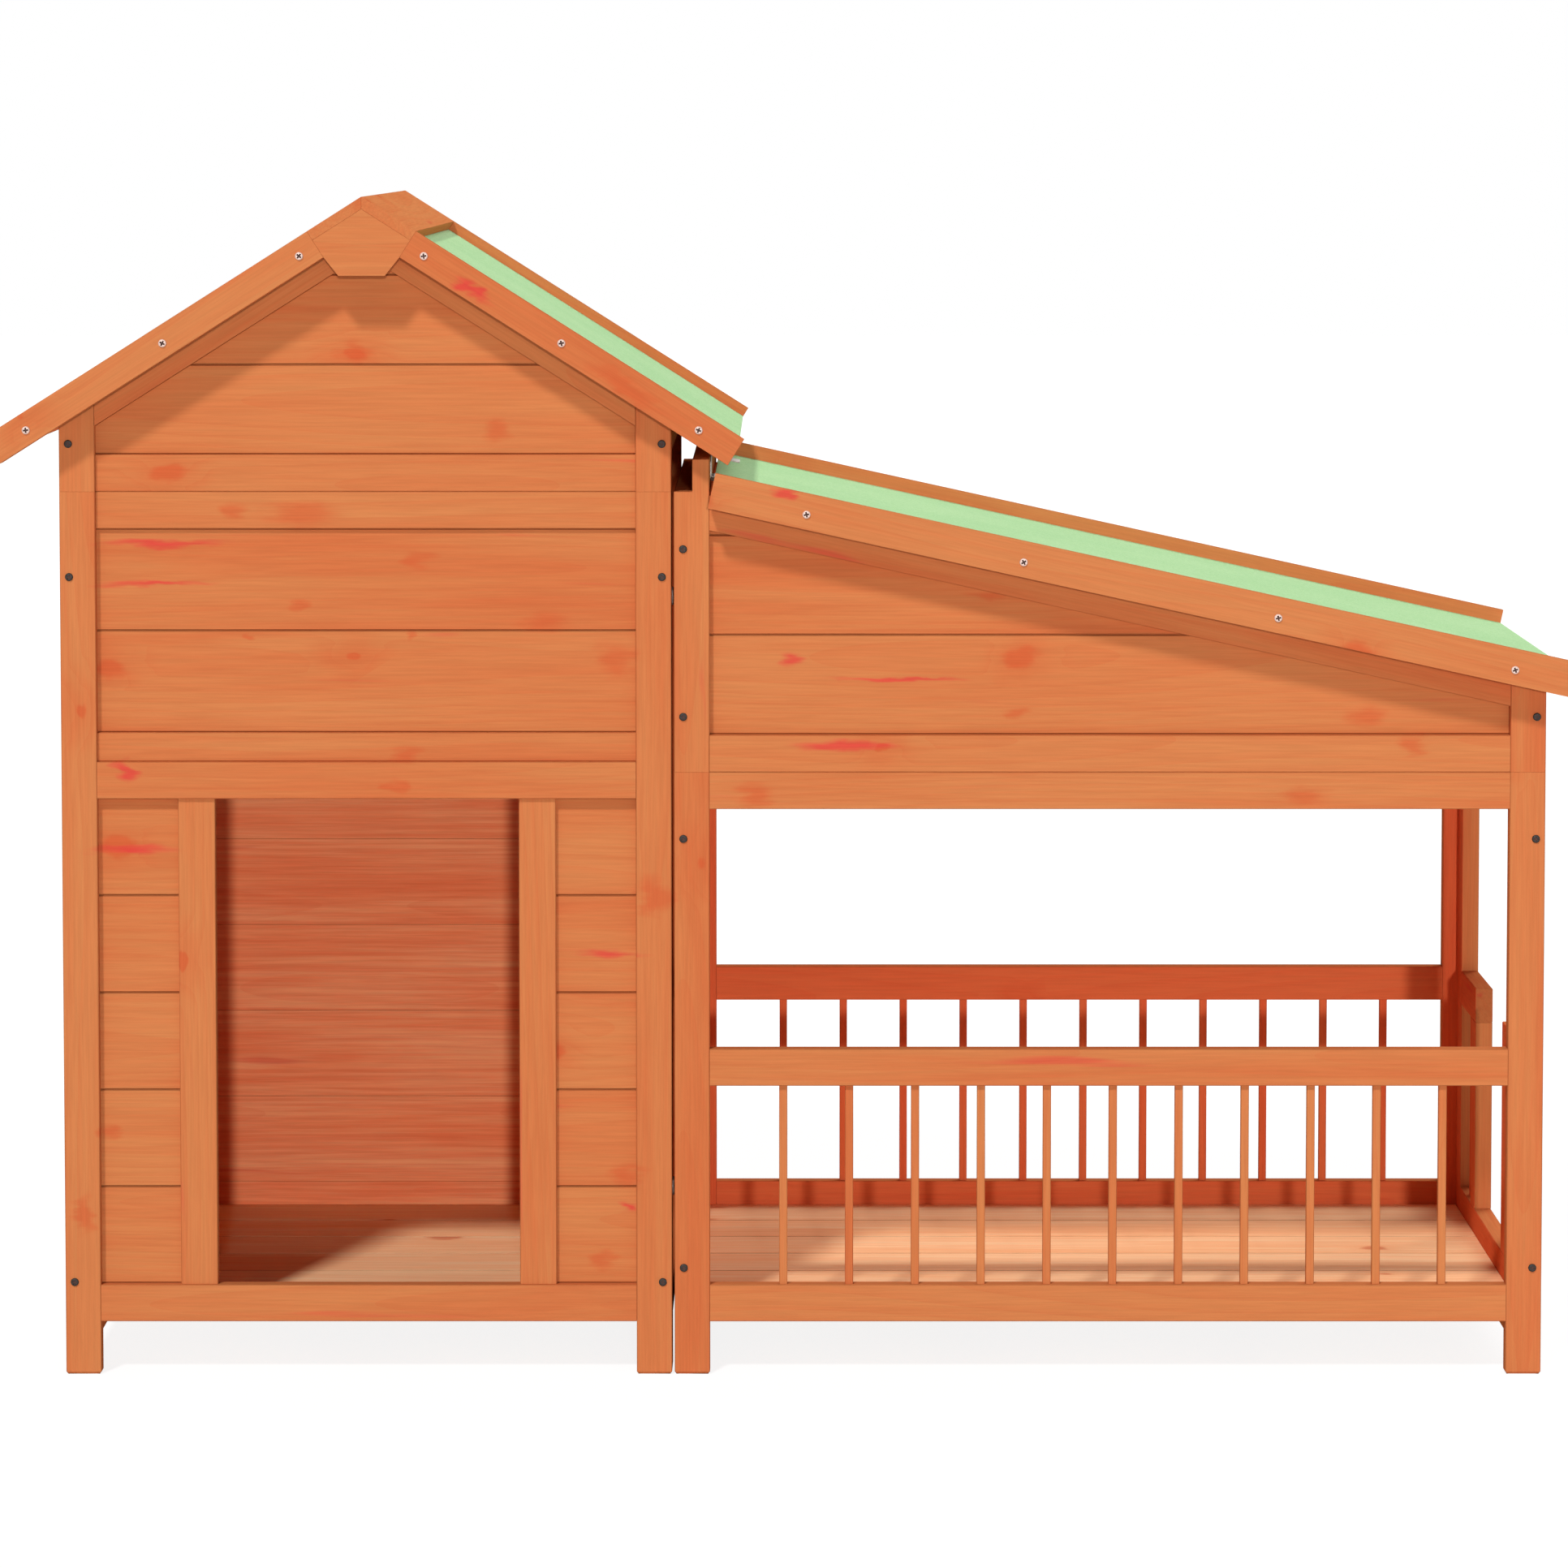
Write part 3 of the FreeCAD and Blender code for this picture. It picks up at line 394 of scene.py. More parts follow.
def bevel_feet(piece):
    """Takes the corners off the ends that stand on the ground, so that they don't splinter."""
    pick(piece)
    bpy.ops.object.mode_set(mode="EDIT")
    bpy.ops.mesh.select_mode(type="EDGE")
    bpy.ops.mesh.select_all(action="DESELECT")
    bpy.ops.object.mode_set(mode="OBJECT")
    found = 0
    for edge in piece.data.edges:
        edge.select = all(piece.data.vertices[i].co.z < weld_distance for i in edge.vertices)
        found += edge.select
    bpy.ops.object.mode_set(mode="EDIT")
    if found:
        bpy.ops.mesh.bevel(offset=foot_bevel, segments=1, affect="EDGES")
    bpy.ops.object.mode_set(mode="OBJECT")


def dress_timber(node, material):
    piece = clean_copy(node, node + "_timber")
    bevel_feet(piece)
    round_arrises(piece, arris_radius)
    vee = vee_of_slot.get(slot_of_node[node], frame_vee)
    count = write_grain(piece, node, node in level_grain_nodes, vee)
    finish_piece(piece, node, material)
    print(f"{node}: {count} timbers, {len(piece.data.polygons)} faces")
    return piece


# %% [markdown]
# ## What pine looks like
# Stained pine is built up from a few measured things: growth rings a few millimetres apart around
# the pith, long soft streaks, fine fibres, and knots where branches left the trunk, which push the
# rings aside. They are worked out once, in a node group that reads the `grain` attribute. The
# group gives masks only, and each material decides what colour to make of them.
# Each pattern is stretched by three factors, along the fibres, across the board and through it:
# the larger the factor, the finer the pattern that way.

# %% Pine figure group
ring_gap = 0.006
ring_drift = 0.060
ring_wander = 0.004
ring_bend = 0.007  # how far a knot pushes the rings aside
ring_edge = 2.5  # a higher power makes the late wood's line narrower
knot_fray = 0.16
knot_reach = (0.06, 0.03)  # how much the knots differ, and the smallest
wander_stretch = (3.0, 14.0, 14.0)
knot_stretch = (5.0, 8.0, 0.0)
ragged_stretch = (30.0, 60.0, 60.0)
drift_stretch = (1.1, 1.5, 1.5)
streak_stretch = (2.2, 26.0, 26.0)
fibre_stretch = (16.0, 480.0, 480.0)
stain_stretch = (4.0, 55.0, 55.0)


def make_pine_figure():
    tree, start, end = new_group(
        "pine_figure",
        [("Grain", "NodeSocketVector", None), ("Ring Gap", "NodeSocketFloat", ring_gap),
         ("Knot Share", "NodeSocketFloat", 0.5)],
        [("Rings", "NodeSocketFloat"), ("Streaks", "NodeSocketFloat"),
         ("Fibres", "NodeSocketFloat"), ("Knot", "NodeSocketFloat"),
         ("Halo", "NodeSocketFloat"), ("Stain", "NodeSocketFloat")],
    )
    grain = start.outputs["Grain"]
    wander = noise(tree, scaled(tree, grain, wander_stretch), 1.0, 2.0)
    knots = add_node(
        tree, "ShaderNodeTexVoronoi", voronoi_dimensions="2D", feature="F1",
        inputs={"Vector": scaled(tree, grain, knot_stretch), "Scale": 1.0},
    )
    ragged = noise(tree, scaled(tree, grain, ragged_stretch), 1.0, 3.0)
    uneven = maths(tree, "SUBTRACT", ragged, 0.5)
    size = maths(tree, "MULTIPLY_ADD", uneven, knot_fray, knots.outputs["Distance"])
    split = add_node(tree, "ShaderNodeSeparateColor", {"Color": knots.outputs["Color"]})
    chance = maths(tree, "LESS_THAN", split.outputs["Red"], start.outputs["Knot Share"])
    reach = maths(tree, "MULTIPLY_ADD", split.outputs["Green"], *knot_reach)
    core = ramp(tree, maths(tree, "DIVIDE", size, reach), 0.5, 1.2, 1.0, 0.0)
    knot = maths(tree, "MULTIPLY", core, chance)
    halo = maths(tree, "MULTIPLY", ramp(tree, size, 0.04, 0.26, 1.0, 0.0), chance)
    parts = add_node(tree, "ShaderNodeSeparateXYZ", {"Vector": grain})
    level = add_node(tree, "ShaderNodeCombineXYZ", {
        "Y": parts.outputs["Y"], "Z": parts.outputs["Z"],
    })
    radius = add_node(
        tree, "ShaderNodeVectorMath", {0: level.outputs[0]}, operation="LENGTH",
    ).outputs["Value"]
    drift = noise(tree, scaled(tree, grain, drift_stretch), 1.0, 1.0)
    bent = maths(tree, "MULTIPLY_ADD", drift, ring_drift, radius)
    bent = maths(tree, "MULTIPLY_ADD", halo, ring_bend, bent)
    bent = maths(tree, "MULTIPLY_ADD", wander, ring_wander, bent)
    turns = maths(tree, "DIVIDE", bent, start.outputs["Ring Gap"])
    rings = maths(tree, "POWER", maths(tree, "FRACT", turns), ring_edge)
    streaks = noise(tree, scaled(tree, grain, streak_stretch), 1.0, 4.0, 0.6, 0.4)
    fibres = noise(tree, scaled(tree, grain, fibre_stretch), 1.0, 3.0, 0.6)
    rare = noise(tree, scaled(tree, grain, stain_stretch), 1.0, 2.0, 0.5, 0.3)
    stain = ramp(tree, rare, 0.69, 0.80)
    for label, value in (
        ("Rings", rings), ("Streaks", streaks), ("Fibres", fibres),
        ("Knot", knot), ("Halo", halo), ("Stain", stain),
    ):
        tree.links.new(value, end.inputs[label])
    return tree


pine_figure = make_pine_figure()
print("pine figure nodes:", len(pine_figure.nodes))

# %% [markdown]
# ## The marks that this house has
# A random texture gives believable wood, but not the marks that one remembers a thing by: the crimson
# knot at the left of the lintel, the red streak in a short board beside the door. Those are measured
# on the front and placed one by one. Each is an ellipsoid with a ragged edge, as long and as high as
# the mark, that reaches a few centimetres into the wood, so boards show it on both sides, as real
# knots do. Marks on the sloping boards are tilted with them.

# %% Placed marks group
gable_slope = math.radians(32.4)
porch_slope = math.radians(12.4)
mark_depth = 0.035
mark_core = 0.25  # full strength inside this share of a mark's size
mark_rim = 1.15  # none outside this share
fray_stretch = (25.0, 25.0, 90.0)
fray_reach = (0.050, 0.0, 0.014)
front_of_walls = -0.300
front_of_barge = -0.335
crimson_marks = (  # centre x and z, half length, half height, tilt, depth of place
    (-0.641, 0.593, 0.013, 0.012, 0.0, front_of_walls),
    (-0.629, 0.514, 0.050, 0.006, 0.0, front_of_walls),
    (-0.172, 0.413, 0.040, 0.005, 0.0, front_of_walls),
    (-0.151, 0.162, 0.010, 0.007, 0.0, front_of_walls),
    (-0.303, 1.060, 0.024, 0.008, gable_slope, front_of_barge),
    (-0.001, 0.862, 0.014, 0.006, porch_slope, front_of_barge),
    (0.060, 0.616, 0.055, 0.006, 0.0, front_of_walls),
    (0.008, 0.700, 0.017, 0.008, 0.0, front_of_walls),
    (-0.613, 0.774, 0.060, 0.004, 0.0, front_of_walls),
    (-0.600, 0.813, 0.070, 0.005, 0.0, front_of_walls),
    (0.110, 0.681, 0.075, 0.003, 0.0, front_of_walls),
)
brown_marks = (
    (-0.378, 0.577, 0.009, 0.009, 0.0, front_of_walls),
    (-0.364, 0.608, 0.014, 0.009, 0.0, front_of_walls),
    (-0.152, 0.966, 0.050, 0.012, gable_slope, front_of_barge),
    (-0.415, 0.998, 0.018, 0.015, 0.0, front_of_walls),
    (-0.280, 0.924, 0.016, 0.015, 0.0, front_of_walls),
    (-0.534, 0.846, 0.016, 0.009, 0.0, front_of_walls),
    (-0.467, 0.842, 0.045, 0.015, 0.0, front_of_walls),
    (-0.234, 0.737, 0.028, 0.012, 0.0, front_of_walls),
    (-0.471, 0.752, 0.010, 0.008, 0.0, front_of_walls),
    (-0.522, 0.723, 0.005, 0.005, 0.0, front_of_walls),
    (-0.364, 0.723, 0.006, 0.006, 0.0, front_of_walls),
    (-0.356, 0.797, 0.018, 0.012, 0.0, front_of_walls),
    (-0.163, 0.700, 0.022, 0.022, 0.0, front_of_walls),
    (-0.127, 0.470, 0.020, 0.024, 0.0, front_of_walls),
    (-0.684, 0.158, 0.013, 0.022, 0.0, front_of_walls),
    (-0.155, 0.195, 0.020, 0.016, 0.0, front_of_walls),
    (-0.175, 0.110, 0.018, 0.014, 0.0, front_of_walls),
    (-0.656, 0.237, 0.012, 0.009, 0.0, front_of_walls),
    (0.564, 0.645, 0.026, 0.012, 0.0, front_of_walls),
    (0.612, 0.617, 0.016, 0.014, 0.0, front_of_walls),
    (0.228, 0.646, 0.014, 0.006, 0.0, front_of_walls),
    (-0.028, 0.569, 0.022, 0.014, 0.0, front_of_walls),
    (0.505, 0.568, 0.030, 0.012, 0.0, front_of_walls),
    (0.196, 0.762, 0.022, 0.006, 0.0, front_of_walls),
)


def all_marks(tree, place, marks):
    """The strongest of these marks at each point."""
    strongest = 0.0
    for x, z, half_length, half_height, tilt, y in marks:
        local = add_node(tree, "ShaderNodeMapping", {
            "Vector": place, "Location": (x, y, z), "Rotation": (0, tilt, 0),
            "Scale": (half_length, mark_depth, half_height),
        }, vector_type="TEXTURE").outputs[0]
        away = add_node(tree, "ShaderNodeVectorMath", {0: local}, operation="LENGTH")
        mark = ramp(tree, away.outputs["Value"], mark_core, mark_rim, 1.0, 0.0)
        strongest = maths(tree, "MAXIMUM", mark, strongest)
    return strongest


def make_placed_marks():
    tree, start, end = new_group(
        "placed_marks", [("Place", "NodeSocketVector", None)],
        [("Crimson", "NodeSocketFloat"), ("Brown", "NodeSocketFloat")],
    )
    place = start.outputs["Place"]
    ragged = add_node(tree, "ShaderNodeTexNoise", {
        "Vector": scaled(tree, place, fray_stretch), "Scale": 1.0, "Detail": 3.0,
    }).outputs["Color"]
    uneven = add_node(
        tree, "ShaderNodeVectorMath", {0: ragged, 1: (0.5, 0.5, 0.5)}, operation="SUBTRACT",
    ).outputs[0]
    spread = scaled(tree, uneven, fray_reach)
    frayed = add_node(
        tree, "ShaderNodeVectorMath", {0: place, 1: spread}, operation="ADD",
    ).outputs[0]
    tree.links.new(all_marks(tree, frayed, crimson_marks), end.inputs["Crimson"])
    tree.links.new(all_marks(tree, frayed, brown_marks), end.inputs["Brown"])
    return tree


placed_marks = make_placed_marks()
print("placed marks:", len(crimson_marks) + len(brown_marks))

# %% [markdown]
# The felt's and the metals' edges are painted paler. On the felt this is a painted highlight, as an
# edge catches the light. On the metals it is partly wear, where handling rubs the plating off first,
# and partly a painted highlight. A group finds the edges by comparing the true normal with the one
# that a bevel of a given radius would have there. Where they differ, the surface is next to an edge,
# and a coarse noise makes the paler edges patchy. The timbers don't use it: in the photograph the
# stain still covers their arrises.

# %% Edge wear and highlight group
def make_lit_and_rubbed_edges():
    tree, start, end = new_group(
        "lit_and_rubbed_edges",
        [("Radius", "NodeSocketFloat", 0.002), ("Grain", "NodeSocketVector", None)],
        [("Mask", "NodeSocketFloat")],
    )
    soft = add_node(tree, "ShaderNodeBevel", {"Radius": start.outputs["Radius"]}, samples=4)
    true = tree.nodes.new("ShaderNodeNewGeometry")
    same = add_node(
        tree, "ShaderNodeVectorMath", {0: soft.outputs[0], 1: true.outputs["True Normal"]},
        operation="DOT_PRODUCT",
    ).outputs["Value"]
    edge = ramp(tree, maths(tree, "SUBTRACT", 1.0, same), 0.01, 0.16)
    patchy = ramp(tree, noise(tree, start.outputs["Grain"], 45.0, 3.0), 0.40, 0.62)
    tree.links.new(maths(tree, "MULTIPLY", edge, patchy), end.inputs["Mask"])
    return tree


lit_and_rubbed_edges = make_lit_and_rubbed_edges()
print("edge wear nodes:", len(lit_and_rubbed_edges.nodes))

# %% [markdown]
# ## The stained timbers
# One function makes every pine material from a few colours. The stain on this house is a warm orange:
# tan where the wood is hard and takes little of it, redder where it is soft, and crimson in a few
# knots and cracks. The frame and the boards differ a little, and the floor was left paler. The ridge
# boards are painted lighter, a painted highlight for the light that falls on their tops. The frames
# are painted redder on their faces inside the porch, which is painted shade: the reddish light
# bounced about under the porch roof. The cabin's insides are rough sawn, which shows as close lines
# along the grain, and are painted lighter as well, as painted light inside the cabin. The colours are
# written as a screen shows them.

# %% Pine materials
tan = srgb(204, 127, 77)
orange = srgb(202, 117, 70)
red_orange = srgb(200, 97, 57)
knot_brown = srgb(202, 86, 50)
crimson = srgb(214, 54, 60)
usual_variety = 0.24  # how much the tone differs from timber to timber
middle_from = (0.44, 0.80)  # tones at which the light stain turns to the middle one
deep_from = (0.66, 0.98)  # and the middle one to the deep one, up to a share
deep_share = 0.55
saw_stretch = (3.5, 210.0, 210.0)
saw_share = 0.10
soaked_loss = -0.18  # how much darker a sawn end is
ring_tint = 0.22
halo_tint = 0.35
knot_tint = 0.65
stain_tint = 0.45
brown_tint = 0.55
crimson_tint = 0.75
pine_bump = (0.22, 0.0006)  # strength and distance


def tinted(tree, colour, mask, share, tint):
    """A colour with some of another where a mask is white."""
    return blend(tree, maths(tree, "MULTIPLY", mask, share), colour, tint)


def make_pine(
    name, light, middle, deep, sawn=0.0, rough=0.62, knot_share=0.35,
    variety=usual_variety,
):
    material, tree, shader = new_material(name)
    grain = add_node(tree, "ShaderNodeAttribute", attribute_name="grain").outputs["Vector"]
    tone = add_node(tree, "ShaderNodeAttribute", attribute_name="tone").outputs["Fac"]
    soaked = add_node(tree, "ShaderNodeAttribute", attribute_name="soaked").outputs["Fac"]
    place = tree.nodes.new("ShaderNodeTexCoord").outputs["Object"]
    marks = place_group(tree, placed_marks, {"Place": place}).outputs
    figure = place_group(tree, pine_figure, {"Grain": grain, "Knot Share": knot_share}).outputs
    toned = maths(tree, "MULTIPLY_ADD", tone, variety, figure["Streaks"])
    toned = maths(tree, "ADD", toned, (usual_variety - variety) / 2)
    colour = blend(tree, ramp(tree, toned, *middle_from), light, middle)
    colour = blend(tree, ramp(tree, toned, *deep_from, 0.0, deep_share), colour, deep)
    colour = tinted(tree, colour, figure["Rings"], ring_tint, deep)
    colour = tinted(tree, colour, figure["Halo"], halo_tint, deep)
    colour = tinted(tree, colour, figure["Knot"], knot_tint, knot_brown)
    colour = tinted(tree, colour, figure["Stain"], stain_tint, crimson)
    colour = tinted(tree, colour, marks["Brown"], brown_tint, knot_brown)
    colour = tinted(tree, colour, marks["Crimson"], crimson_tint, crimson)
    lines = noise(tree, scaled(tree, grain, saw_stretch), 1.0, 4.0, 0.7)
    cut = ramp(tree, lines, 0.36, 0.64)
    colour = tinted(tree, colour, cut, saw_share + sawn, deep)
    fine = ramp(tree, figure["Fibres"], 0.3, 0.7, 0.95, 1.04)
    dark = maths(tree, "MULTIPLY_ADD", soaked, soaked_loss, fine)
    colour = blend(tree, 1.0, colour, add_node(
        tree, "ShaderNodeCombineColor", {0: dark, 1: dark, 2: dark},
    ).outputs[0], "MULTIPLY")
    tree.links.new(colour, shader.inputs["Base Color"])
    roughness = ramp(tree, figure["Fibres"], 0.2, 0.8, rough - 0.07, rough + 0.08)
    tree.links.new(roughness, shader.inputs["Roughness"])
    shader.inputs["Specular IOR Level"].default_value = 0.0
    height = maths(tree, "MULTIPLY_ADD", figure["Rings"], -0.35, figure["Fibres"])
    height = maths(tree, "MULTIPLY_ADD", cut, 0.2 + 2 * sawn, height)
    add_bump(tree, shader, *pine_bump, height)
    return material


frame_pine = make_pine("stained_pine_frame", tan, orange, red_orange)
wall_pine = make_pine("stained_pine_boards", tan, orange, red_orange, knot_share=0.3)
# Partly painted light: the saw lines are real, and the paler colours stand in for light reaching the
# insides.
sawn_pine = make_pine(
    "sawn_pine_inside_painted_light", srgb(254, 173, 122), srgb(252, 149, 99), srgb(238, 112, 71), sawn=0.40,
    rough=0.7, knot_share=0.0, variety=0.06,
)
floor_pine = make_pine(
    "sawn_pine_floor", srgb(255, 218, 172), srgb(254, 204, 154), srgb(246, 170, 118), sawn=0.35,
    rough=0.7, knot_share=0.1,
)
# Painted highlight: the ridge boards are lighter, for the light that falls on their tops.
ridge_pine_painted_light = make_pine(
    "stained_pine_ridge_painted_light", srgb(222, 139, 85), srgb(220, 128, 77), srgb(217, 106, 62),
)
# Painted shade: a redder copy of the frame pine, for the reddish light bounced about in the shade of
# the porch roof.
porch_pine_painted_shade = make_pine(
    "stained_pine_porch_painted_shade", srgb(222, 112, 69), srgb(220, 104, 63), srgb(214, 86, 51),
)
pines = (frame_pine, wall_pine, sawn_pine, floor_pine, ridge_pine_painted_light, porch_pine_painted_shade)
print("pine materials:", [m.name for m in pines])

# %% [markdown]
# Every timber node is now dressed. Which pine it takes follows from its slot in the record: frames
# and barge boards, wall boards, floors, and the roof boards, which are only seen from below and take
# the sawn pine that is painted lighter. Only the ridge boards have a pine of their own, painted
# lighter as a painted highlight.

# %% Dress all timbers
pine_of_slot = {
    "frame_wood": frame_pine, "wall_wood": wall_pine, "floor_wood": floor_pine,
    "roof_wood": sawn_pine,
}
pine_of_node = {"ridge_caps": ridge_pine_painted_light}
timbers = {
    node: dress_timber(node, pine_of_node.get(node, pine_of_slot[slot_of_node[node]]))
    for node in sorted(nodes) if slot_of_node[node] in pine_of_slot
}
print("timber pieces:", len(timbers))

# %% [markdown]
# The walls were planed and stained with care on the outside only. Inside the cabin they stay rough
# sawn, with close lines from the saw along every board. So the faces of these nodes that look towards
# the middle of their room get the sawn pine as a second material, which is also painted lighter, as
# painted light inside the cabin. The porch's frames get painted shade on the sides that look into the
# porch: a redder pine, for the reddish light bounced about in the shade of its roof.

# %% Rough insides of the walls, and painted shade inside the porch
inward_of_boards = {
    "house_back_boards": (0, -1, 0), "gable_back_boards": (0, -1, 0),
    "house_back_rails": (0, -1, 0),
    "doorside_boards": (0, 1, 0), "front_upper_boards": (0, 1, 0), "gable_front_boards": (0, 1, 0),
    "house_left_boards": (1, 0, 0), "house_right_boards": (-1, 0, 0),
    "porch_front_upper_boards": (0, 1, 0), "porch_back_upper_boards": (0, -1, 0),
}
# The faces that get the porch's painted shade.
inward_of_porch = {
    "porch_back_frame": (0, -1, 0), "porch_back_balusters": (0, -1, 0),
    "porch_back_upper_frame": (0, -1, 0), "porch_left_frame": (1, 0, 0),
    "porch_side_frame": (-1, 0, 0), "porch_side_fence": (-1, 0, 0),
    "porch_side_upper_panel": (-1, 0, 0),
}
inside_vee = 0.6
inward_facing = 0.3


def finish_inside(node, inward, material):
    """Gives the faces of a node that look one way a second material."""
    mesh = timbers[node].data
    mesh.materials.append(material)
    soaked = mesh.attributes["soaked"].data
    faces = [f for f in mesh.polygons if f.normal.dot(Vector(inward)) > inward_facing]
    for face in faces:
        face.material_index = 1
        soaked[face.index].value = min(inside_vee, soaked[face.index].value)
    print(node, "inner faces:", len(faces))


for node, inward in inward_of_boards.items():
    finish_inside(node, inward, sawn_pine)
for node, inward in inward_of_porch.items():
    finish_inside(node, inward, porch_pine_painted_shade)

# %% [markdown]
# ## Roofing felt
# The felt is a bitumen sheet rolled in pale green mineral grit. Close up it is thousands of flakes,
# a little lighter or darker each, and from a few steps away it is a soft matt green with faint
# clouds. Voronoi cells a millimetre wide make the flakes, in colour and in height.

# %% Felt material
flake_scale = 650.0
cloud_scale = 9.0
grit_scale = 420.0
felt_highlight_radius = 0.0015
felt_bump = (0.5, 0.0006)
felt_edge_radius = 0.0006


def make_felt():
    material, tree, shader = new_material("green_mineral_felt")
    place = tree.nodes.new("ShaderNodeTexCoord").outputs["Object"]
    flakes = add_node(tree, "ShaderNodeTexVoronoi", {"Vector": place, "Scale": flake_scale})
    split = add_node(tree, "ShaderNodeSeparateColor", {"Color": flakes.outputs["Color"]})
    clouds = noise(tree, place, cloud_scale, 4.0, 0.55)
    grit = noise(tree, place, grit_scale, 3.0, 0.7)
    colour = blend(tree, ramp(tree, clouds, 0.3, 0.7), srgb(183, 224, 165), srgb(192, 229, 172))
    colour = blend(tree, ramp(tree, grit, 0.45, 0.75, 0.0, 0.5), colour, srgb(150, 203, 139))
    colour = blend(
        tree, ramp(tree, split.outputs["Red"], 0.0, 1.0, 0.0, 0.35), colour, srgb(146, 203, 135),
    )
    colour = blend(
        tree, ramp(tree, split.outputs["Green"], 0.82, 0.98, 0.0, 0.5), colour, srgb(206, 236, 196),
    )
    inputs = {"Grain": place, "Radius": felt_highlight_radius}
    wear_and_highlight = place_group(tree, lit_and_rubbed_edges, inputs).outputs["Mask"]
    # Painted highlight: the felt's edges are paler, in patches.
    colour = tinted(tree, colour, wear_and_highlight, 0.6, srgb(214, 238, 202))
    tree.links.new(colour, shader.inputs["Base Color"])
    shader.inputs["Roughness"].default_value = 0.92
    shader.inputs["Specular IOR Level"].default_value = 0.08
    add_bump(tree, shader, *felt_bump, maths(tree, "ADD", flakes.outputs["Distance"], grit))
    return material


felt_finish = make_felt()
for node in sorted(nodes):
    if slot_of_node[node] == "roof_felt":
        felt = clean_copy(node, node + "_sheet")
        round_arrises(felt, felt_edge_radius)
        finish_piece(felt, node, felt_finish)
print("felt finish on", felt.name)

# %% [markdown]
# ## Metal parts
# Zinc plating is pale, satin and faintly mottled. The frame screws are blackened instead. Both are
# the same material function with other values: a metallic shader whose roughness varies with a fine
# noise, and edges painted paler, partly wear and partly a painted highlight.

# %% Metal materials
mottle_scale = 900.0
metal_wear_and_highlight_radius = 0.0006
metal_bump = (0.1, 0.0001)
metal_edge_radius = 0.0002


def make_metal(name, colour, worn_and_lit, metallic, rough):
    material, tree, shader = new_material(name)
    place = tree.nodes.new("ShaderNodeTexCoord").outputs["Object"]
    mottle = noise(tree, place, mottle_scale, 3.0)
    inputs = {"Grain": place, "Radius": metal_wear_and_highlight_radius}
    wear_and_highlight = place_group(tree, lit_and_rubbed_edges, inputs).outputs["Mask"]
    tint = blend(tree, ramp(tree, mottle, 0.3, 0.7, 0.0, 0.35), colour, worn_and_lit)
    # Edges paler: partly wear of the plating, partly a painted highlight.
    tint = tinted(tree, tint, wear_and_highlight, 0.7, worn_and_lit)
    tree.links.new(tint, shader.inputs["Base Color"])
    shader.inputs["Metallic"].default_value = metallic
    roughness = ramp(tree, mottle, 0.3, 0.7, rough - 0.08, rough + 0.08)
    tree.links.new(roughness, shader.inputs["Roughness"])
    add_bump(tree, shader, *metal_bump, mottle)
    return material


zinc = make_metal("zinc_plate", srgb(208, 178, 166), srgb(228, 206, 196), 0.30, 0.50)
black_steel = make_metal("blackened_steel", srgb(34, 31, 29), srgb(60, 56, 53), 0.5, 0.5)
# Painted shade: darker than the zinc, for the shade that the hinges sit in.
hinge_steel = make_metal("hinge_steel", srgb(120, 110, 102), srgb(156, 146, 138), 0.7, 0.4)
# Painted shade: a dark material for the shade in the screws' cross recesses.
recess_painted_shade = make_metal("screw_recess_painted_shade", srgb(74, 46, 38), srgb(96, 66, 56), 0.2, 0.7)
print("metals:", [m.name for m in (zinc, black_steel, hinge_steel, recess_painted_shade)])

# %% [markdown]
# ## A pan-head screw
# The screws' heads are the only thing of them that shows. One is modelled at the origin, looking
# up: a flat cylinder whose rim is bevelled into a dome, with a cross recess cut by two thin bars.
# The bars are a boolean cutter, which is the quickest way to a clean cross. The recess gets a second
# material, a painted shade, and joining the copies of the head later would lose it, so the recess's
# faces are marked by an attribute.

# %% Model one screw
head_radius = 0.0039
head_height = 0.0018
slot_width = 0.0017
slot_length = 0.0052
slot_depth = 0.0014
rim_bevel = 0.6 * head_height
smooth_angle = math.radians(35)


def model_screw():
    bpy.ops.object.select_all(action="DESELECT")
    bpy.ops.mesh.primitive_cylinder_add(
        vertices=32, radius=head_radius, depth=head_height, location=(0, 0, head_height / 2),
    )
    head = bpy.context.object
    head.name = "pan_head_screw"
    bpy.ops.object.mode_set(mode="EDIT")
    bpy.ops.mesh.select_all(action="DESELECT")
    bpy.ops.object.mode_set(mode="OBJECT")
    for edge in head.data.edges:
        ends = [head.data.vertices[i].co.z for i in edge.vertices]
        edge.select = min(ends) > head_height / 4
    bpy.ops.object.mode_set(mode="EDIT")
    bpy.ops.mesh.bevel(offset=rim_bevel, segments=4, affect="EDGES")
    bpy.ops.object.mode_set(mode="OBJECT")
    for turn in (0, math.pi / 2):
        bpy.ops.mesh.primitive_cube_add(
            size=1, location=(0, 0, head_height), rotation=(0, 0, turn),
        )
        bar = bpy.context.object
        bar.scale = (slot_length, slot_width, 2 * slot_depth)
        bpy.ops.object.transform_apply(location=True, rotation=True, scale=True)
        cutter = head.modifiers.new("cross", "BOOLEAN")
        cutter.operation = "DIFFERENCE"
        cutter.object = bar
        pick(head)
        bpy.ops.object.modifier_apply(modifier=cutter.name)
        bpy.data.objects.remove(bar)
    pick(head)
    bpy.ops.object.transform_apply(location=True, rotation=True, scale=True)
    bpy.ops.object.shade_smooth_by_angle(angle=smooth_angle)
    head.data.attributes.new("recess", "INT", "FACE")
    recess = head.data.attributes["recess"].data
    for face in head.data.polygons:
        inside = face.center.xy.length < slot_length * 0.56
        recess[face.index].value = inside and face.center.z < head_height * 0.98
    return head


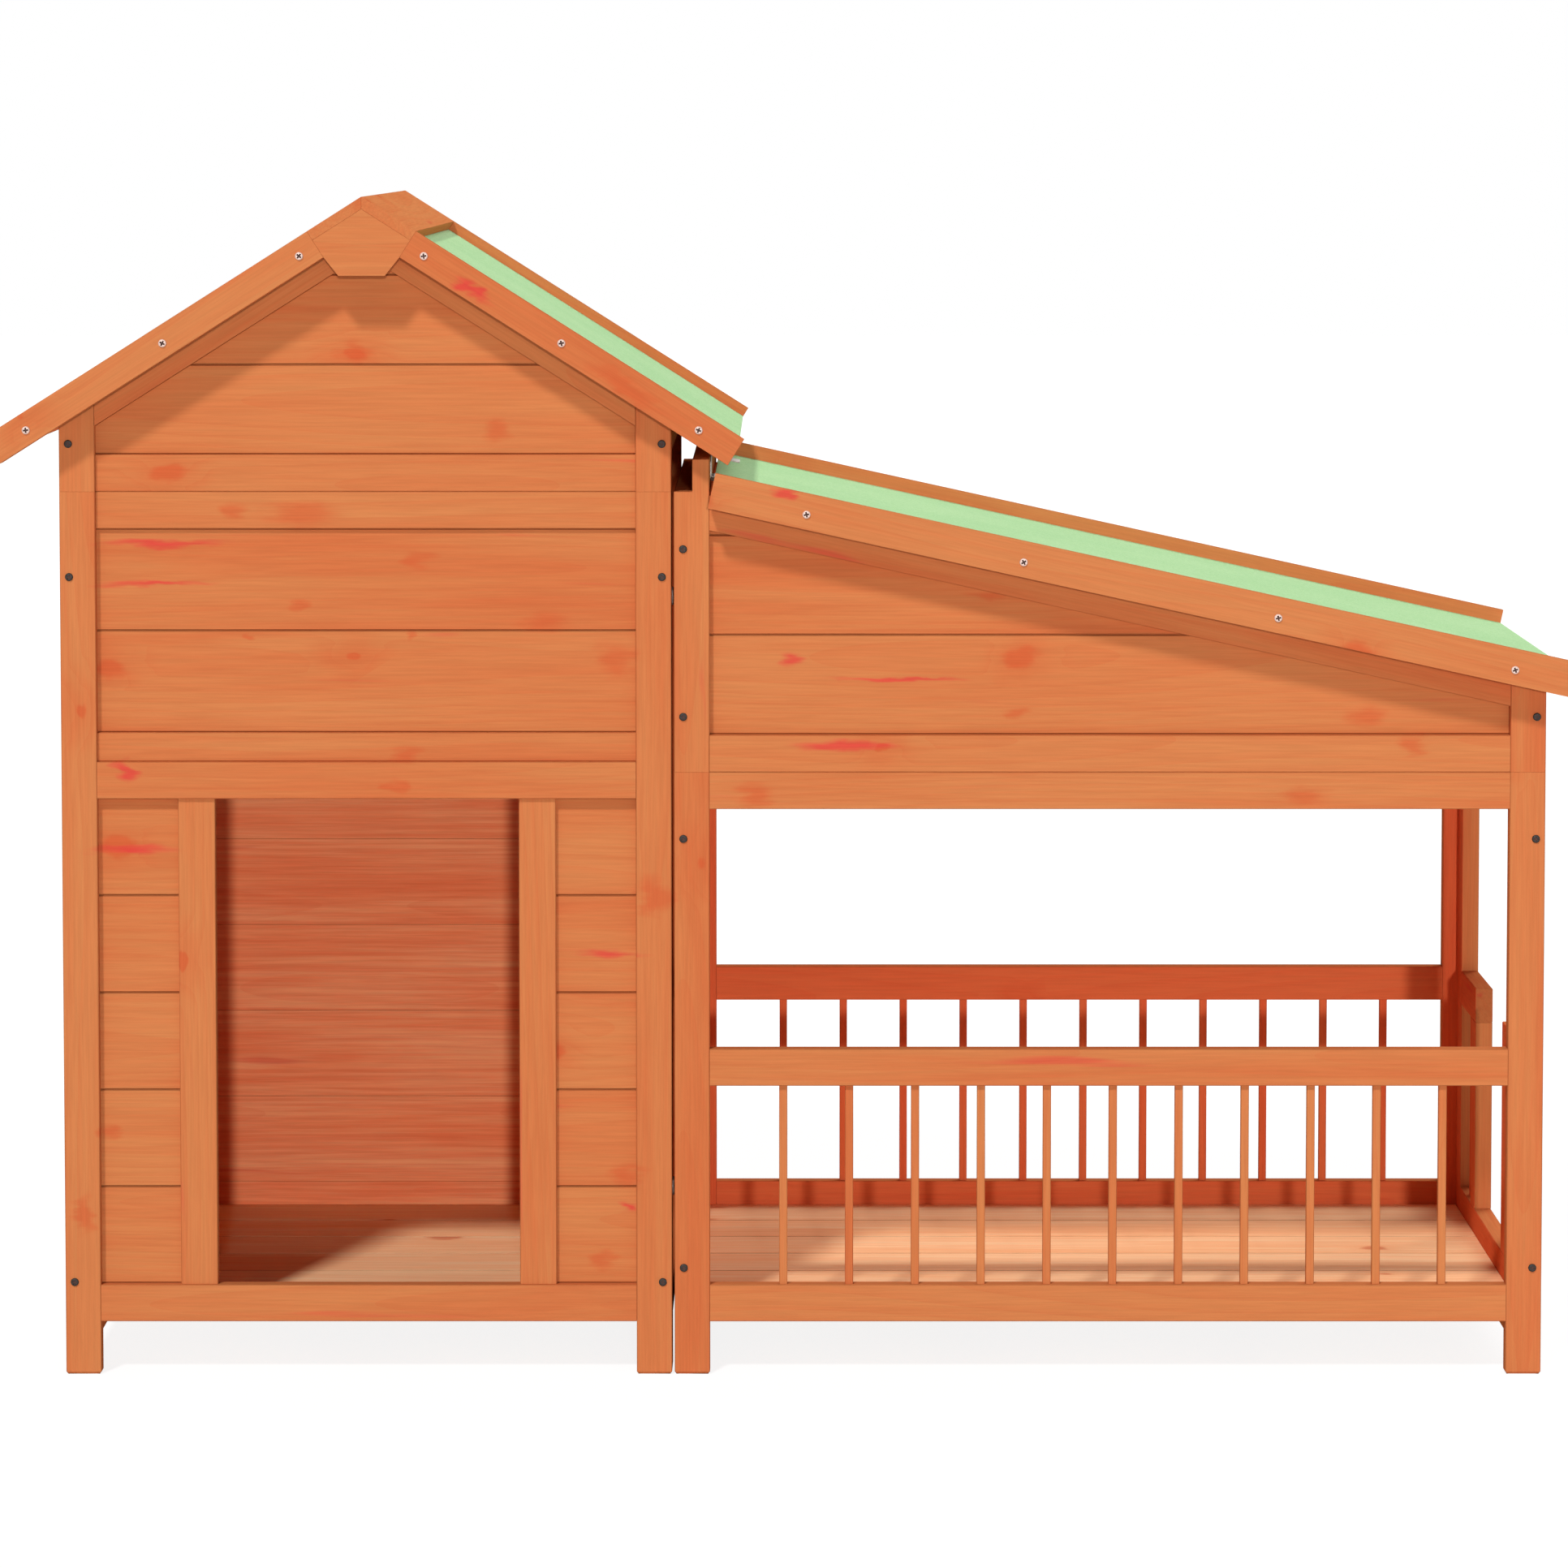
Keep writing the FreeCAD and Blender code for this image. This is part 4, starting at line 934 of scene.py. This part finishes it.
screw = model_screw()
print("screw head:", len(screw.data.polygons), "faces")

# %% [markdown]
# The CAD screws say where each head sits. Every separate solid of the node is one screw, and its
# box gives the face that it is seated on. A copy of the modelled head goes there, turned by an
# angle of its own, since nobody stops all screws at the same angle.

# %% Seat the screws
cad_head_height = 0.0016


def boxes_of(node):
    """Lowest and highest corner of each separate solid of a node."""
    piece = clean_copy(node, node + "_probe")
    found = []
    for points in islands(piece.data):
        corners = [piece.data.vertices[i].co for i in points]
        low = Vector([min(c[k] for c in corners) for k in range(3)])
        high = Vector([max(c[k] for c in corners) for k in range(3)])
        found.append((low, high))
    bpy.data.objects.remove(piece)
    return found


def copies_of(master, placements, name):
    """Copies of a modelled piece, each with its own mesh and place, joined into one object."""
    made = []
    for number, placement in enumerate(placements):
        mesh = master.data.copy()
        mesh.transform(placement)
        copy = bpy.data.objects.new(f"{name}_{number}", mesh)
        bpy.context.scene.collection.objects.link(copy)
        made.append(copy)
    pick(*made)
    if len(made) > 1:
        bpy.ops.object.join()
    joined = bpy.context.object
    joined.name = name
    return joined


def seat_screws(node, material):
    """Puts a head on each screw of a node, and a dark material, painted shade, in the heads'
    recesses.
    """
    placements = []
    for number, (low, high) in enumerate(boxes_of(node)):
        turn = random.Random(f"{node}-{number}").uniform(0, math.pi)
        front = (low.y + high.y) < 0
        seat = low.y + cad_head_height if front else high.y - cad_head_height
        place = Vector(((low.x + high.x) / 2, seat, (low.z + high.z) / 2))
        facing = Matrix.Rotation(math.pi / 2 if front else -math.pi / 2, 4, "X")
        placements.append(Matrix.Translation(place) @ facing @ Matrix.Rotation(turn, 4, "Z"))
    heads = copies_of(screw, placements, node + "_heads")
    finish_piece(heads, node, material)
    heads.data.materials.append(recess_painted_shade)
    recess = heads.data.attributes["recess"].data
    for face in heads.data.polygons:
        face.material_index = recess[face.index].value
    dark = sum(face.material_index for face in heads.data.polygons)
    print(f"{node}: {len(placements)} heads, {dark} faces in the recesses")
    return heads


seat_screws("frame_screws", black_steel)
seat_screws("barge_screws", zinc)
seat_screws("porch_barge_screws", zinc)
bpy.data.objects.remove(screw)

# %% [markdown]
# ## Hinges and bolts
# The butt hinges, their pins and the bolts keep the shapes that the CAD gives them, with rounded
# edges. The hinges and pins take a darker steel than the zinc bolts, as painted shade for the shade
# that they sit in.

# %% Hinges and bolts
for node in ("hinge_rail_leaves", "hinge_roof_leaves", "hinge_pins", "joining_bolt_sets"):
    metal = clean_copy(node, node + "_metal")
    round_arrises(metal, metal_edge_radius)
    finish_piece(metal, node, zinc if node == "joining_bolt_sets" else hinge_steel)
print("hinges and bolts dressed")

# %% [markdown]
# ## Floor, backdrop and light
# The house stands on a plain white floor. Seen by the camera, directly or as a reflection, floor and
# world are plain white, as in the photograph; as light they are weaker, and the floor takes the
# shadow. The key light comes from the front, above and a little from the left. A fill that shines
# where the camera looks reaches through the doorway to the back wall and hides its own shadows,
# and one from behind keeps the deck bright and the other sides readable. Their strengths add up so
# that a surface facing the camera shows about its own colour.

# %% Floor
floor_size = 60
floor_paleness = 0.86
floor_glow = 1.2
glow_share = 0.72


def seen_or_mirrored(tree):
    """1 for what the camera sees, also in a mirror or through glass, and 0 for light."""
    path = tree.nodes.new("ShaderNodeLightPath").outputs
    direct = maths(tree, "MAXIMUM", path["Is Camera Ray"], path["Is Glossy Ray"])
    return maths(tree, "MAXIMUM", direct, path["Is Transmission Ray"])


def make_floor():
    bpy.ops.object.select_all(action="DESELECT")
    bpy.ops.mesh.primitive_plane_add(size=floor_size, location=(0, 0, 0))
    floor = bpy.context.object
    floor.name = "studio_floor"
    material, tree, shader = new_material("white_floor")
    shader.inputs["Base Color"].default_value = (floor_paleness, floor_paleness, floor_paleness, 1)
    shader.inputs["Roughness"].default_value = 0.9
    shader.inputs["Specular IOR Level"].default_value = 0.1
    glow = add_node(tree, "ShaderNodeEmission", {"Color": (1, 1, 1, 1), "Strength": floor_glow})
    seen = maths(tree, "MULTIPLY", seen_or_mirrored(tree), glow_share)
    inputs = {0: seen, 1: shader.outputs[0], 2: glow.outputs[0]}
    mix = add_node(tree, "ShaderNodeMixShader", inputs)
    tree.links.new(mix.outputs[0], tree.nodes["Material Output"].inputs["Surface"])
    floor.data.materials.append(material)
    return floor


floor = make_floor()
print("floor:", floor.name)

# %% World and lamps
fill_strength = 0.16
lamp_distance = 4
lamps = (  # name, energy, softness in degrees, direction in which it shines
    ("key_light", 1.82, 6, (0.37, 1.0, -1.12)),
    ("front_fill", 1.13, 1.5, (-0.066, 1.0, -0.09)),
    ("back_fill", 1.95, 40, (-0.45, -1.0, -0.85)),
)


def make_world():
    world = bpy.data.worlds.new("studio")
    bpy.context.scene.world = world
    world.use_nodes = True
    tree = world.node_tree
    background = tree.nodes["Background"]
    background.inputs["Color"].default_value = (1, 1, 1, 1)
    strength = ramp(tree, seen_or_mirrored(tree), 0.0, 1.0, fill_strength, 1.0)
    tree.links.new(strength, background.inputs["Strength"])


def make_sun(name, energy, softness, direction):
    bpy.ops.object.select_all(action="DESELECT")
    bpy.ops.object.light_add(type="SUN", location=-lamp_distance * Vector(direction))
    sun = bpy.context.object
    sun.name = name
    sun.data.energy = energy
    sun.data.angle = math.radians(softness)
    sun.rotation_mode = "QUATERNION"
    sun.rotation_quaternion = Vector(direction).to_track_quat("-Z", "Y")


make_world()
for lamp in lamps:
    make_sun(*lamp)
bpy.context.scene.view_settings.view_transform = "Standard"
print("lamps:", [lamp[0] for lamp in lamps])
